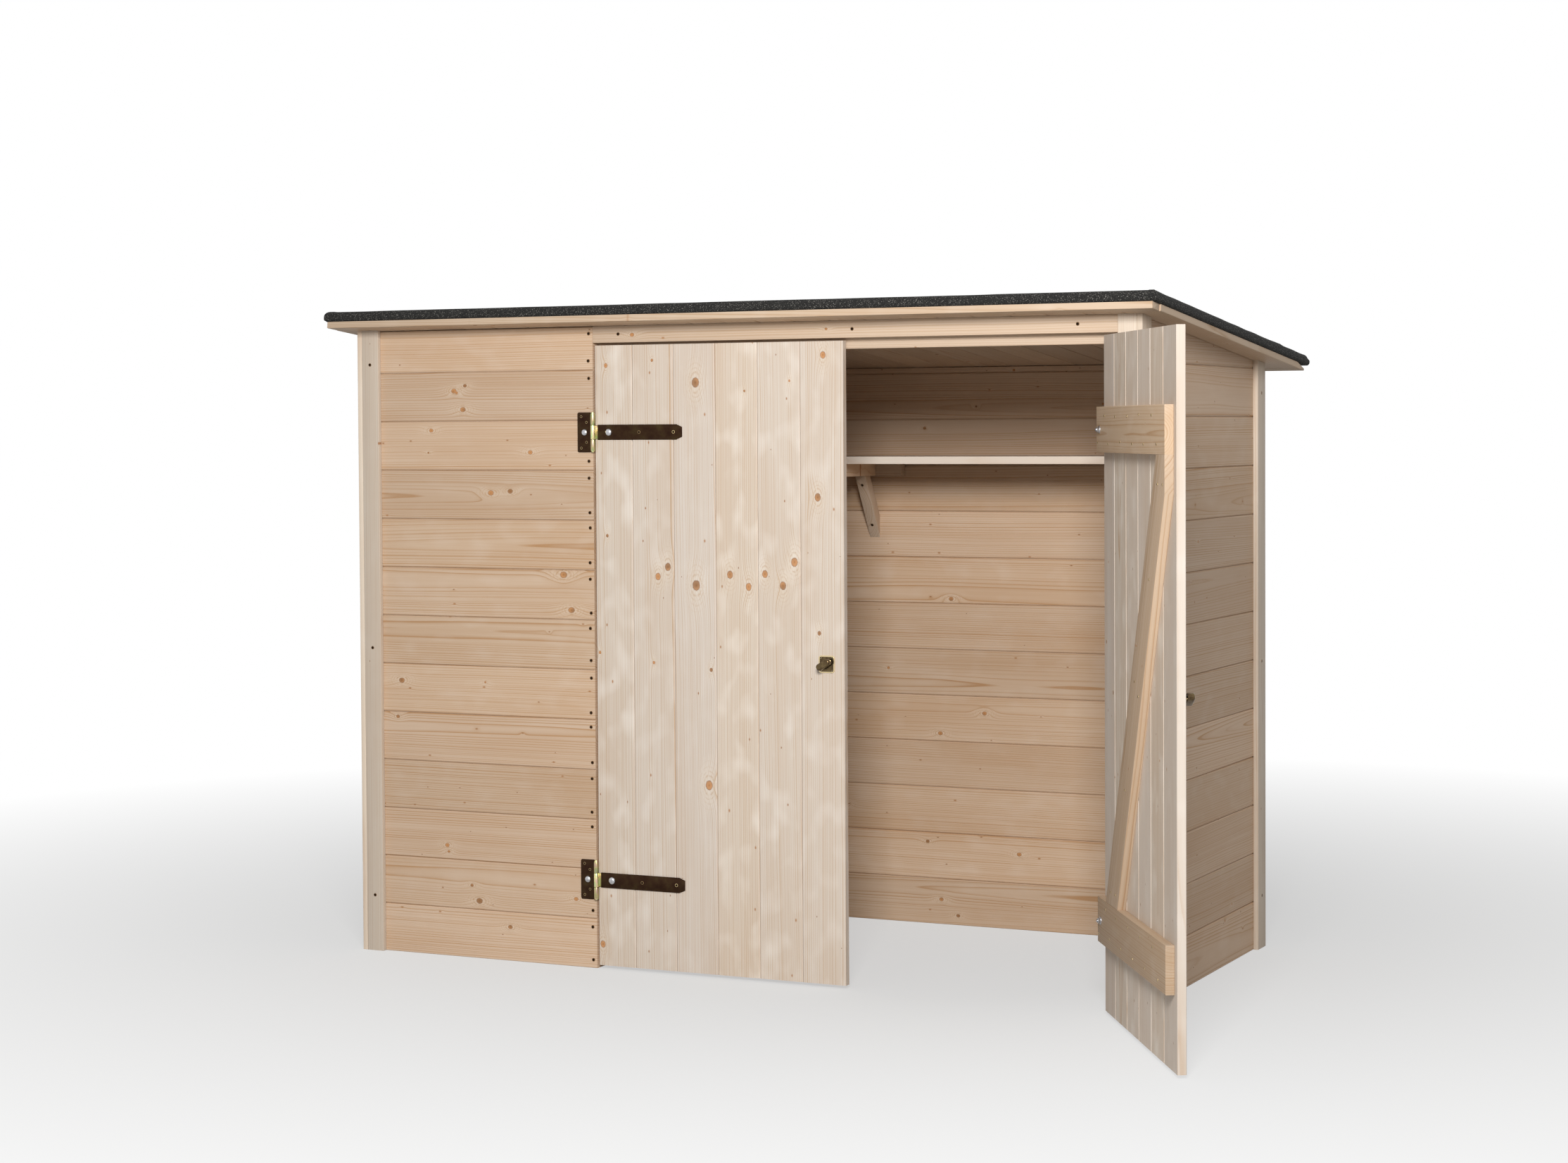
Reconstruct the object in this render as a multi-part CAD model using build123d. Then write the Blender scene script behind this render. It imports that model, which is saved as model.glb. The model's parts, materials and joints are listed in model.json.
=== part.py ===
"""Timber bike shelter with a mono-pitch roof and a two-leaf ledged door, one STEP file per piece.

Millimetres. X runs along the front, Y from the front to the back, Z up. The origin lies on the
ground under the middle of the back wall, at the middle of its thickness. The left leaf is shut and
the right leaf stands open, as both doors rest.
"""
import os
from math import radians, tan

from build123d import *

# Walls
wall_width = 1900.0            # over the outer faces of the two side walls
wall_depth = 875.0             # front face of the front wall to rear face of the back wall
wall_thickness = 16.0          # tongue-and-groove wall boards
panel_width = 613.0            # closed part of the front, from the left side wall's outer face
jamb_board_width = 42.0        # board to the right of the doorway
jamb_board_thickness = 18.0

# Posts in the corners and beside the doorway
post_size = 45.0

# Trims over the corners
trim_thickness = 12.0
trim_front_width = 45.0
trim_side_width = 60.0

# Roof
roof_pitch = 5.6               # degrees, falling to the back
deck_thickness = 15.0
roof_side_overhang = 60.0      # beyond the side walls' outer faces
front_overhang = 70.0          # beyond the front wall's face
front_edge_depth = 45.0        # cross board along the front edge
rear_overhang = 118.0          # roof boards beyond the back wall's rear face
rear_edge_depth = 58.0         # cross board along the rear edge
rear_edge_tip = 5.0            # its thickness at the drip, thinned from above
edge_board_setback = 3.0       # the front cross board's ends, inside the side boards' edges
felt_thickness = 4.0
felt_proud = 2.0               # felt beyond the front cross board
felt_side_proud = 7.0          # rolled felt beyond the boards at the sides
felt_tuck = 7.0                # rounding where the sides of the felt roll under
felt_drip = 26.0               # felt beyond the rear edge board
kerb_height = 25.0             # raised rim under the felt along the front and the sides
kerb_crown = 13.0              # flat width on top of the rim
kerb_round = 12.0              # rounded outer edge of the rim

# Head of the doorway
head_clearance = 6.0           # between the leaves and the lintel beam
lintel_height = 38.0           # up to the roof boards, at the front wall's face
lintel_thickness = 25.0
stop_drop = 23.0               # the stop hangs this far below the lintel beam
stop_thickness = 27.0

# Door leaves
leaf_height = 1402.0
leaf_lift = 8.0                # above the ground
leaf_thickness = 18.0
leaf_setback = 1.0             # behind the front wall's face
hinge_gap = 5.0                # between a leaf and its jamb
meeting_gap = 6.0              # between the two leaves
left_open_angle = 0.0          # degrees, how the leaves stand at rest
right_open_angle = 122.0

# Ledges and braces on the leaves' inner faces
ledge_width = 94.0
ledge_thickness = 18.0
ledge_hinge_inset = 8.0
ledge_free_inset = 20.0
lower_ledge_rise = 194.0       # from the leaf's bottom to the ledge's middle
upper_ledge_drop = 195.0       # from the leaf's top to the ledge's middle
brace_foot = 137.0             # from the leaf's hinge edge to the brace's middle, on the lower ledge
brace_head = 578.0             # the same on the upper ledge

# T-hinges
hinge_metal = 2.5
strap_length = 224.0           # from the pin
strap_width = 34.0
strap_neck_width = 31.0        # at the rolled eye
strap_neck_length = 9.0        # from the pin
strap_tip_width = 22.0
strap_tip_length = 14.0
plate_width = 36.0
plate_height = 90.0
plate_corner = 4.0
barrel_radius = 5.5
pin_radius = 2.6
pin_clearance = 0.08
knuckle_gap = 1.0
pin_head_radius = 4.6
pin_head_height = 2.0
barrel_standoff = 0.2          # between the barrel and the front wall's face

# Turn knobs
knob_height = 708.0            # above the ground
knob_inset = 42.0              # from the leaf's free edge
knob_plate_size = 38.0
knob_plate_corner = 6.0
knob_plate_thickness = 2.0
knob_neck_radius = 7.0
knob_neck_length = 9.0
knob_grip_length = 34.0
knob_grip_width = 15.0
knob_grip_depth = 13.0
knob_grip_round = 3.0
knob_turn = 32.0               # degrees, the grip from the level

# Shelf on the back wall
shelf_top = 1153.0
shelf_thickness = 18.0
shelf_depth = 240.0
bracket_width = 27.0
bracket_height = 31.0
arm_setback = 12.0             # behind the shelf's front edge
bracket_offset = -24.0         # the bracket's middle from the shed's middle
back_cleat_length = 164.0
strut_reach = 90.0             # from the back wall to where the strut meets the arm
strut_drop = 153.0             # below the arm
strut_depth = 27.0
side_cleat_length = 200.0

# Planes that the pieces share
half_width = wall_width / 2
back_outer = wall_thickness / 2
back_inner = -wall_thickness / 2
front_face = back_outer - wall_depth
side_inner = half_width - wall_thickness
door_left_edge = -half_width + panel_width
door_right_edge = half_width - jamb_board_width
leaf_width = (door_right_edge - door_left_edge - 2 * hinge_gap - meeting_gap) / 2
leaf_top = leaf_lift + leaf_height
leaf_front = front_face + leaf_setback
leaf_back = leaf_front + leaf_thickness
lintel_bottom = leaf_top + head_clearance
ceiling_height = lintel_bottom + lintel_height
lower_ledge_centre = leaf_lift + lower_ledge_rise
upper_ledge_centre = leaf_top - upper_ledge_drop
slope = tan(radians(roof_pitch))


def ceiling(y):
    """Height of the roof boards' underside at a depth."""
    return ceiling_height - slope * (y - front_face)


def block(x0, x1, y0, y1, z0, z1):
    """Plain timber between two corners."""
    return Pos((x0 + x1) / 2, (y0 + y1) / 2, (z0 + z1) / 2) * Box(x1 - x0, y1 - y0, z1 - z0)


def along_x(outline, x0, x1):
    """Timber with an outline of (y, z) points, running along X."""
    face = Face(Wire.make_polygon([(x0, y, z) for y, z in outline]))
    return extrude(face, amount=x1 - x0, dir=(1, 0, 0))


def under_roof(x0, x1, y0, y1, z0=0.0):
    """Upright timber whose top is cut to the slope of the roof boards."""
    return along_x([(y0, z0), (y1, z0), (y1, ceiling(y1)), (y0, ceiling(y0))], x0, x1)


def on_roof(shape):
    """Sets a shape, drawn with its Y down the slope from the front wall's face, on the ceiling plane."""
    return Pos(0, front_face, ceiling_height) * Rotation(-roof_pitch, 0, 0) * shape


def walls():
    """The closed front panel, the side walls, the back wall and the board right of the doorway."""
    return {
        "front_panel": under_roof(-side_inner, door_left_edge, front_face, front_face + wall_thickness),
        "wall_left": under_roof(-half_width, -side_inner, front_face, back_outer),
        "wall_right": under_roof(side_inner, half_width, front_face + jamb_board_thickness, back_outer),
        "wall_back": under_roof(-side_inner, side_inner, back_inner, back_outer),
        "jamb_board_right": under_roof(door_right_edge, half_width, front_face,
                                       front_face + jamb_board_thickness),
    }


def posts():
    """Upright posts inside the corners and beside the doorway."""
    front = front_face + wall_thickness
    right_front = front_face + jamb_board_thickness
    return {
        "post_front_left": under_roof(-side_inner, -side_inner + post_size, front, front + post_size),
        "post_jamb_left": under_roof(door_left_edge - post_size, door_left_edge, front, front + post_size),
        "post_jamb_right": under_roof(door_right_edge, side_inner, right_front, right_front + post_size),
        "post_back_left": under_roof(-side_inner, -side_inner + post_size, back_inner - post_size, back_inner),
        "post_back_right": under_roof(side_inner - post_size, side_inner, back_inner - post_size, back_inner),
    }


def trims():
    """Boards that cover the ends of the wall boards at the corners."""
    outer = half_width + trim_thickness
    inner = half_width - trim_front_width
    rear = back_outer + trim_thickness
    proud = front_face - trim_thickness
    return {
        "trim_front_left": under_roof(-half_width, -inner, proud, front_face),
        "trim_side_left_front": under_roof(-outer, -half_width, proud, proud + trim_side_width),
        "trim_side_right_front": under_roof(half_width, outer, front_face, front_face + trim_side_width),
        "trim_side_left_rear": under_roof(-outer, -half_width, rear - trim_side_width, rear),
        "trim_side_right_rear": under_roof(half_width, outer, rear - trim_side_width, rear),
        "trim_back_left": under_roof(-half_width, -inner, back_outer, rear),
        "trim_back_right": under_roof(inner, half_width, back_outer, rear),
    }


def doorway_head():
    """The lintel beam over the leaves, and behind it the deeper stop that they shut against."""
    stop_front = front_face + lintel_thickness
    return {
        "lintel_beam": under_roof(door_left_edge, door_right_edge, front_face, stop_front, lintel_bottom),
        "door_stop": under_roof(door_left_edge, door_right_edge, stop_front, stop_front + stop_thickness,
                                lintel_bottom - stop_drop),
    }


def roof():
    """Roof boards between a front and a wedged rear cross board, under felt with a felted kerb."""
    half = half_width + roof_side_overhang
    front_half = half - edge_board_setback
    deck_front = front_edge_depth - front_overhang
    deck_rear = wall_depth + rear_overhang
    rear = deck_rear + rear_edge_depth
    wedge = [(deck_rear, 0), (rear, 0), (rear, rear_edge_tip), (deck_rear, deck_thickness)]
    pieces = {
        "roof_deck": block(-half, half, deck_front, deck_rear, 0, deck_thickness),
        "roof_edge_front": block(-front_half, front_half, -front_overhang, deck_front, 0, deck_thickness),
        "roof_edge_rear": along_x(wedge, -half, half),
    }
    pieces.update(felt(half + felt_side_proud, -front_overhang - felt_proud, rear + felt_drip))
    return {name: on_roof(shape) for name, shape in pieces.items()}


def felt(half, front, rear):
    """Roofing felt, and on it a three-sided kerb: rounded outside, sloping inside, open at the back."""
    top = deck_thickness + kerb_height
    field = deck_thickness + felt_thickness
    sheet = block(-half, half, front, rear, deck_thickness, top)
    rim = [e for e in sheet.edges().group_by(Axis.Z)[-1] if e.center().Y < rear - 1]
    corners = [e for e in sheet.edges().filter_by(Axis.Z) if e.center().Y < rear - 1]
    sheet = fillet(rim + corners, kerb_round)
    sides = [e for e in sheet.edges().group_by(Axis.Z)[0] if abs(e.center().X) > half - 1]
    sheet = fillet(sides, felt_tuck)
    rise = top - field
    crown = kerb_crown + kerb_round
    floor_half = half - crown - rise
    floor_front = front + crown + rise
    run = rear - floor_front + 2 * rise
    pocket = extrude(Pos(0, floor_front + run / 2, field) * Rectangle(2 * floor_half, run), rise, taper=-45)
    above = block(-half, half, front, rear, field, top)
    return {"roof_felt": sheet - above, "roof_kerb": (sheet & above) - pocket}


def shelf():
    """A board across the back wall on end cleats, with a strutted bracket near its middle."""
    underside = shelf_top - shelf_thickness
    foot = underside - bracket_height
    front = back_inner - shelf_depth
    left = bracket_offset - bracket_width / 2
    right = bracket_offset + bracket_width / 2
    cleat_half = back_cleat_length / 2
    wall_plate = block(bracket_offset - cleat_half, left, back_inner - bracket_width, back_inner, foot, underside)
    wall_plate += block(right, bracket_offset + cleat_half, back_inner - bracket_width, back_inner,
                        foot, underside)
    lean = (strut_drop ** 2 + strut_reach ** 2) ** 0.5
    rise = strut_depth * lean / strut_reach
    back = strut_depth * lean / strut_drop
    strut = along_x([(back_inner, foot - strut_drop), (back_inner, foot - strut_drop + rise),
                     (back_inner - strut_reach + back, foot), (back_inner - strut_reach, foot)], left, right)
    cleat_front = back_inner - post_size - side_cleat_length
    cleats = []
    for side in (-1, 1):
        x0, x1 = sorted((side * side_inner, side * (side_inner - bracket_width)))
        cleats.append(block(x0, x1, cleat_front, back_inner - post_size, foot, underside))
    board = block(-side_inner, side_inner, front, back_inner, underside, shelf_top)
    for side in (-1, 1):
        x0, x1 = sorted((side * side_inner, side * (side_inner - post_size)))
        board -= block(x0, x1, back_inner - post_size, back_inner, underside, shelf_top)
    return {
        "shelf_board": board,
        "shelf_arm": block(left, right, front + arm_setback, back_inner, foot, underside),
        "shelf_strut": strut,
        "shelf_cleats_back": wall_plate,
        "shelf_cleats_side": Compound(children=cleats),
    }


def leaf_pieces():
    """One leaf, drawn shut with its hinge edge at the left and its pin on the Z axis."""
    edge = hinge_gap / 2
    front = leaf_front - pin_y
    back = leaf_back - pin_y
    free = edge + leaf_width
    ledge_x0 = edge + ledge_hinge_inset
    ledge_x1 = free - ledge_free_inset
    ledge_back = back + ledge_thickness
    low_top = lower_ledge_centre + ledge_width / 2
    high_bottom = upper_ledge_centre - ledge_width / 2
    return {
        "leaf": block(edge, free, front, back, leaf_lift, leaf_top),
        "ledge_lower": block(ledge_x0, ledge_x1, back, ledge_back, low_top - ledge_width, low_top),
        "ledge_upper": block(ledge_x0, ledge_x1, back, ledge_back, high_bottom, high_bottom + ledge_width),
        "brace": brace(edge, ledge_x1, back, low_top, high_bottom),
        "hinge_straps": both_hinges(strap(front)),
        "turn_knob": Pos(free - knob_inset, front, knob_height) * turn_knob(),
    }


def brace(edge, end, back, bottom, top):
    """Slanting board between the ledges, cut to them and to the upper ledge's free end."""
    run = brace_head - brace_foot
    half = ledge_width / 2 * ((top - bottom) ** 2 + run ** 2) ** 0.5 / (top - bottom)
    foot = edge + brace_foot
    head = edge + brace_head
    outline = [(foot - half, bottom), (foot + half, bottom), (head + half, top), (head - half, top)]
    face = Face(Wire.make_polygon([(x, back, z) for x, z in outline]))
    board = extrude(face, amount=ledge_thickness, dir=(0, 1, 0))
    return board & block(0, end, back, back + ledge_thickness, bottom, top)


def both_hinges(shape):
    """A hinge piece, drawn about Z = 0, at the height of both ledges."""
    return Compound(children=[Pos(0, 0, z) * shape for z in (lower_ledge_centre, upper_ledge_centre)])


def knuckle(z0, z1, bore):
    """A rolled eye of the hinge round the pin."""
    ring = Circle(barrel_radius) - Circle(bore) if bore else Circle(barrel_radius)
    return extrude(Pos(0, 0, z0) * ring, z1 - z0)


def strap(face):
    """The long leaf of a T-hinge: a tapered-tip strap with its rolled eye, lying on the door's face."""
    half = strap_width / 2
    neck = strap_neck_width / 2
    tip = strap_tip_width / 2
    start = strap_neck_length + half - neck
    shoulder = strap_length - strap_tip_length
    upper = [(shoulder, half), (start, half), (strap_neck_length, neck), (barrel_radius / 2, neck)]
    lower = [(x, -z) for x, z in reversed(upper)]
    outline = lower + [(strap_length, -tip), (strap_length, tip)] + upper
    flat = extrude(Face(Wire.make_polygon([(x, face, z) for x, z in outline])), amount=hinge_metal, dir=(0, -1, 0))
    bore = pin_radius + pin_clearance
    flat -= Cylinder(bore, 2 * strap_width)
    return flat + knuckle(-neck, neck, bore)


def plate():
    """The short leaf of a T-hinge on the jamb, with two rolled eyes and the headed pin."""
    half = plate_height / 2
    eye = strap_neck_width / 2 + knuckle_gap
    wall = front_face - pin_y
    sheet = Pos(-plate_width / 2 - barrel_radius, wall, 0) * Rotation(90, 0, 0) * extrude(
        RectangleRounded(plate_width, plate_height, plate_corner), hinge_metal)
    bridge_x = -barrel_radius - plate_corner
    for z0, z1 in ((-half + plate_corner, -eye), (eye, half - plate_corner)):
        sheet += block(bridge_x, 0, wall - hinge_metal, wall, z0, z1)
        sheet += knuckle(z0, z1, 0)
    sheet += extrude(Pos(0, 0, -half) * Circle(pin_radius), plate_height)
    for z in (-half + plate_corner - pin_head_height, half - plate_corner):
        sheet += extrude(Pos(0, 0, z) * Circle(pin_head_radius), pin_head_height)
    return sheet


def turn_knob():
    """Rosette, round neck and turned T-shaped grip, standing off the door's face towards -Y."""
    rosette = extrude(RectangleRounded(knob_plate_size, knob_plate_size, knob_plate_corner), knob_plate_thickness)
    neck = Pos(0, 0, knob_plate_thickness) * extrude(Circle(knob_neck_radius), knob_neck_length)
    grip_base = knob_plate_thickness + knob_neck_length
    grip = Pos(0, 0, grip_base) * extrude(
        RectangleRounded(knob_grip_length, knob_grip_width, knob_grip_width / 2 - 0.5), knob_grip_depth)
    grip = fillet(grip.edges().group_by(Axis.Z)[-1], knob_grip_round)
    return Rotation(90, 0, 0) * (rosette + neck + Rotation(0, 0, knob_turn) * grip)


# The barrels stand clear of the wall's face, midway in the gap beside each leaf
pin_y = front_face - barrel_radius - barrel_standoff
pin_left_x = door_left_edge + hinge_gap / 2
pin_right_x = door_right_edge - hinge_gap / 2


def doors():
    """Both leaves at their resting angles, with the hinge plates on the fixed frame."""
    pieces = {"hinge_plates_left": Pos(pin_left_x, pin_y, 0) * both_hinges(plate())}
    mirrored = mirror(both_hinges(plate()), Plane.YZ)
    pieces["hinge_plates_right"] = Pos(pin_right_x, pin_y, 0) * mirrored
    for name, shape in leaf_pieces().items():
        left = Pos(pin_left_x, pin_y, 0) * Rotation(0, 0, -left_open_angle) * shape
        right = Pos(pin_right_x, pin_y, 0) * Rotation(0, 0, right_open_angle) * mirror(shape, Plane.YZ)
        pieces["door_left_" + name] = left
        pieces["door_right_" + name] = right
    return pieces


def build():
    """Every piece of the shelter by name."""
    pieces = {}
    for group in (walls(), posts(), trims(), doorway_head(), roof(), shelf(), doors()):
        pieces.update(group)
    return pieces


os.makedirs("parts", exist_ok=True)
for node, solid in build().items():
    export_step(solid, "parts/" + node + ".step")
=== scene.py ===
"""Timber bike shelter: its boards, felt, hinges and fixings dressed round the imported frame.

Metres throughout. X runs along the front, Y to the back, Z up, as in the frame.
"""
import json

import bmesh
import bpy
import numpy as np
from mathutils import Matrix, Vector


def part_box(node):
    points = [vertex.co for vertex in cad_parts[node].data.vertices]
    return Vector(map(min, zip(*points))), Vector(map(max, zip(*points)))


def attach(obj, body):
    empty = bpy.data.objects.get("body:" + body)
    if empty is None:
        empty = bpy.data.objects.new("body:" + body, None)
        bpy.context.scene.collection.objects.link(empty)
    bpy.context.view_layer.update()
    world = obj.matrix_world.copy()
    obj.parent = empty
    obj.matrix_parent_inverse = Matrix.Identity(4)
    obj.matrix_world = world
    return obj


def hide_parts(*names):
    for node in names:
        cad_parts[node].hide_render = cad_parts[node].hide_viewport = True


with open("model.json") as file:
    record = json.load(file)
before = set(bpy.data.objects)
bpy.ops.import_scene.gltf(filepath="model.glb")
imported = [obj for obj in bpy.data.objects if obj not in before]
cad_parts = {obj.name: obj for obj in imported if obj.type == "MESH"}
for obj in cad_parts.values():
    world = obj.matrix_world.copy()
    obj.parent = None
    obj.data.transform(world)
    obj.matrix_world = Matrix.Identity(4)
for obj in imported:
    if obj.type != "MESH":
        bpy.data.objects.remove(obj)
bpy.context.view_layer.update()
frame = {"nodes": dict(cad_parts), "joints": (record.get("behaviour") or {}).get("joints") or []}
rng = np.random.default_rng(41)

# Boards
FIRST_COURSE = 0.112      # height of the lowest wall board
COVER = 0.113             # cover width of the wall boards
ROOF_BOARDS = 24
LEAF_BOARDS = 6
LEAF_FIRST = 0.0945       # width of the leaf's hinge-side board
VEE = 0.0027              # chamfer along a wall joint
LEAF_VEE = 0.0022
JOINT_SLIT = 0.0004       # between the shoulders of two boards
PLAIN = 0.0012            # chamfer along a board's plain edge
TONGUE = 0.005
TONGUE_THICKNESS = 0.0045
GROOVE_SLACK = 0.0004
EASE = 0.0012             # rounding of planed edges
EASE_STEPS = 3
SEASONING = 0.0003        # how far boards stand in and out of line
SAME_PLACE = 1e-5         # points closer than this lie in one face

# Logs
FLAT_PITH = (0.016, 0.05)         # how far the pith lies behind a flat-sawn board
SIDE_PITH = (0.09, 0.2)           # and how far to one side of any other
KNOT_SLOTS = 4                    # knots that one board may hold
NO_KNOT = (9.0, 9.0, 0.004)       # fills a free slot, far off the board
CHANCE_KNOTS = (0.0018, 0.0050)   # radii of the knots that aren't placed by hand

# Larger knots, as (x, z, radius) on the front panel and on the shut leaf
PANEL_KNOTS = (
    (-0.705, 1.312, 0.0052), (-0.681, 1.269, 0.0055), (-0.608, 1.077, 0.0057), (-0.556, 1.081, 0.0051),
    (-0.502, 1.170, 0.0046), (-0.397, 0.812, 0.0063), (-0.417, 0.892, 0.0069), (-0.855, 0.638, 0.0057),
    (-0.648, 0.133, 0.0063), (-0.668, 0.168, 0.0035), (-0.730, 0.243, 0.0030))
LEAF_KNOTS = (
    (-0.304, 1.365, 0.0042), (-0.186, 1.375, 0.0030), (-0.077, 1.324, 0.0084), (0.044, 1.304, 0.0024),
    (0.154, 1.325, 0.0024), (0.235, 1.380, 0.0061), (-0.174, 0.892, 0.0062), (-0.149, 0.914, 0.0068),
    (-0.078, 0.874, 0.0088), (0.006, 0.899, 0.0068), (0.052, 0.873, 0.0065), (0.092, 0.902, 0.0065),
    (0.136, 0.877, 0.0070), (0.164, 0.929, 0.0076), (0.221, 1.071, 0.0068), (0.223, 0.775, 0.0040),
    (-0.303, 0.982, 0.0032), (-0.324, 0.718, 0.0030), (-0.042, 0.687, 0.0036), (-0.186, 0.699, 0.0030),
    (-0.049, 0.430, 0.0081), (-0.093, 0.407, 0.0078), (-0.160, 0.300, 0.0068), (-0.322, 0.056, 0.0062),
    (0.140, 0.165, 0.0070), (0.134, 0.190, 0.0040), (0.140, 0.090, 0.0062), (0.094, 0.215, 0.0068))

# Screws and bolts: radii of their heads, and where they sit
SCREW = 0.0040
PLATE_SCREW = 0.0032
KNOB_SCREW = 0.0024
LEDGE_SCREW = 0.0031
BOLT = 0.0085
PLATE_BOLT = BOLT * 0.9
HEAD_SEGMENTS = 24
SCREW_INSET = 0.019                      # from a board's edge
PANEL_INSET = 0.010                      # from the panel's free end
PANEL_CLEAR = (0.01, 0.05)               # from the roof and from a hinge's middle
TRIM_SCREWS = (0.09, 0.49, 0.945)        # shares of a trim's height
LINTEL_SCREWS = (0.053, 0.516, 0.93)     # shares of the lintel's length
STRUT_SCREWS = (0.15, 0.80)              # shares of the shelf strut's slope
LEDGE_SCREWS = (0.032, 0.027)            # aside and up from the middle of a board on a ledge
LEDGE_CLEAR = 0.025                      # from the leaf's free edge
BRACE_SCREWS = (                         # share of the brace's length, and place aside
    (0.03, 0.02), (0.03, -0.02), (0.28, 0.0), (0.50, 0.022), (0.53, -0.022), (0.76, 0.0), (0.965, 0.02),
    (0.965, -0.02))
BY_EYE = (0.001, 0.002)                  # scatter of the screws, along the panel's end and elsewhere

# T-hinges
HINGE_METAL = 0.0025
HINGE_EDGE = 0.0005                           # roll of the pressed edges
PLATE_WIDTH = 0.036
PLATE_HEIGHT = 0.090
PLATE_SCREWS = ((-0.0083, 0.0355), (0.0053, 0.0225))   # towards the pin, and up and down
STRAP_BOLT = 0.038                            # from the pin
STRAP_SCREWS = ((0.116, 0.1), (0.203, 0.5))   # from the pin, with their plating
STRAP_NECK = 0.0088                           # the strap is bare zinc as far as this from its pin
BARREL = 0.0058
BARREL_EDGE = 0.0006                          # over which the zinc gives way to bronze

# Turn knobs
KNOB_LIFT = 0.708         # height of a knob's middle
KNOB_INSET = 0.042        # from the leaf's free edge
KNOB_STEPS = 4            # of a soft edge
ROSETTE_SIZE = 0.038
ROSETTE_CORNER = 0.006
ROSETTE = 0.002           # height of the bronzed rosette, and of the zinc base under it
BASE = 0.0012
ROSETTE_INSET = 0.0026    # inside the base's edge
ROSETTE_SCREW = 0.014     # across and up from the knob's middle
NECK_LENGTH = 0.009
GRIP_SIZE = (0.034, 0.015, 0.013)
GRIP_TURN = 32.0          # degrees from the level
GRIP_EDGE = (0.0028, 0.0010)      # rounding of the grip in front and behind
GRIP_END = 0.0008         # the grip's ends fall this short of half circles
SINK = 1e-4               # the rosette's depth in its base

# Roofing felt
KERB_ROUND = 0.012
KERB_CROWN = 0.013
KERB_BEND = 0.004         # reach of the soft bends, to the side of their corner and up the slope
FOOT_BEND = 0.006         # and of the lower one out over the field
TUCK = 0.007
FELT_EASE = 0.0012        # room inside the CAD felt for laps and folds
LAP_PLACE = 0.86          # where the upper sheet ends, down the slope from the front wall's face
LAP_RISE = 0.10
LAP_LIFT = 0.0016
LAP_STEP = 1e-4           # half the length of the step at its edge
LAP_INSET = 0.004         # the lap keeps this far in from the kerb's outer face
RIPPLES = 9
RIPPLE = 0.00022
RIPPLE_FADE = 0.03        # waves die out over this, towards the kerb's foot
FOLD_MARGIN = 0.001       # neither waves nor lap as near as this to the kerb's foot or its underside
SIDE_STEPS = 60
FRONT_STEPS = 100
FIELD_STEPS = (160, 90)   # across and down
FLAP_POINTS = slice(10, -6)       # part of the kerb's outline that a corner flap covers
FLAP_SKIN = (0.0010, 0.0008)      # out of the felt and into it
FLAP_WIDTH = (0.002, 0.026)       # at the top, and more by this at the bottom

# Wood tones, pale early wood and darker late wood
WALL_WOOD = ((0.64, 0.475, 0.34), (0.47, 0.27, 0.135))
DOOR_WOOD = ((0.675, 0.595, 0.515), (0.53, 0.375, 0.25))
TRIM_WOOD = ((0.72, 0.62, 0.51), (0.59, 0.43, 0.31))
FRAME_WOOD = ((0.60, 0.465, 0.345), (0.47, 0.315, 0.195))
LEDGE_WOOD = ((0.54, 0.405, 0.285), (0.42, 0.265, 0.15))
PALE_WOOD = ((0.78, 0.69, 0.59), (0.66, 0.50, 0.37))
KNOT_HEART = (0.50, 0.225, 0.075)
KNOT_RIM = (0.20, 0.080, 0.030)
# Pale halo round a knot: painted sheen where the grain dips round it
KNOT_PAINTED_SHEEN = (0.86, 0.76, 0.62)
# Pale colour of the painted sheen, the lamp's highlights on planed faces
PAINTED_SHEEN = (0.90, 0.85, 0.79)
PIN_KNOTS = ((0.19, 0.075, 0.030), (0.42, 0.20, 0.08))

# Platings of the fixings at 0, 0.5 and 1, and where each kind lies between them
BRONZED = (0.22, 0.13, 0.065)
YELLOW_ZINC = (0.62, 0.47, 0.24)
BRIGHT_ZINC = (0.56, 0.56, 0.58)
# Near black painted into the hollows of the fixings' heads: painted shade
RECESS_PAINTED_SHADE = (0.020, 0.012, 0.008)
TIMBER_PLATING = 0.0
PLATE_PLATING = 0.25
LEDGE_PLATING = 0.5
KNOB_PLATING = 0.6
BOLT_PLATING = 1.0

# Camera and light
CAMERA_PLACE = (2.9019, -6.5922, 1.2201)
YAW, PITCH, ROLL = 0.4495, 0.0306, 0.0058     # radians
LENS = 66.77                                  # millimetres on a 36 mm frame
SHIFT = -0.0405
KEY_PLACE = (2.12, -5.0, 2.55)
KEY_AIM = (0.0, -0.4, 0.7)
KEY_SIZE = 1.1
KEY_POWER = 224.0
SKY_LIGHT = 0.28                              # strength of the white sky as light
FLOOR = 30.0                                  # half its width
FLOOR_TONE = (0.50, 0.50, 0.49)

X = np.array((1.0, 0.0, 0.0))
Y = np.array((0.0, 1.0, 0.0))
Z = np.array((0.0, 0.0, 1.0))


def corners(node):
    """Lowest and highest corner of a CAD node, as arrays."""
    lo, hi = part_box(node)
    return np.array(lo), np.array(hi)


def vertices(node):
    """A CAD node's vertices as rows."""
    mesh = frame["nodes"][node].data
    co = np.empty(len(mesh.vertices) * 3)
    mesh.vertices.foreach_get("co", co)
    return co.reshape(-1, 3)


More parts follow.
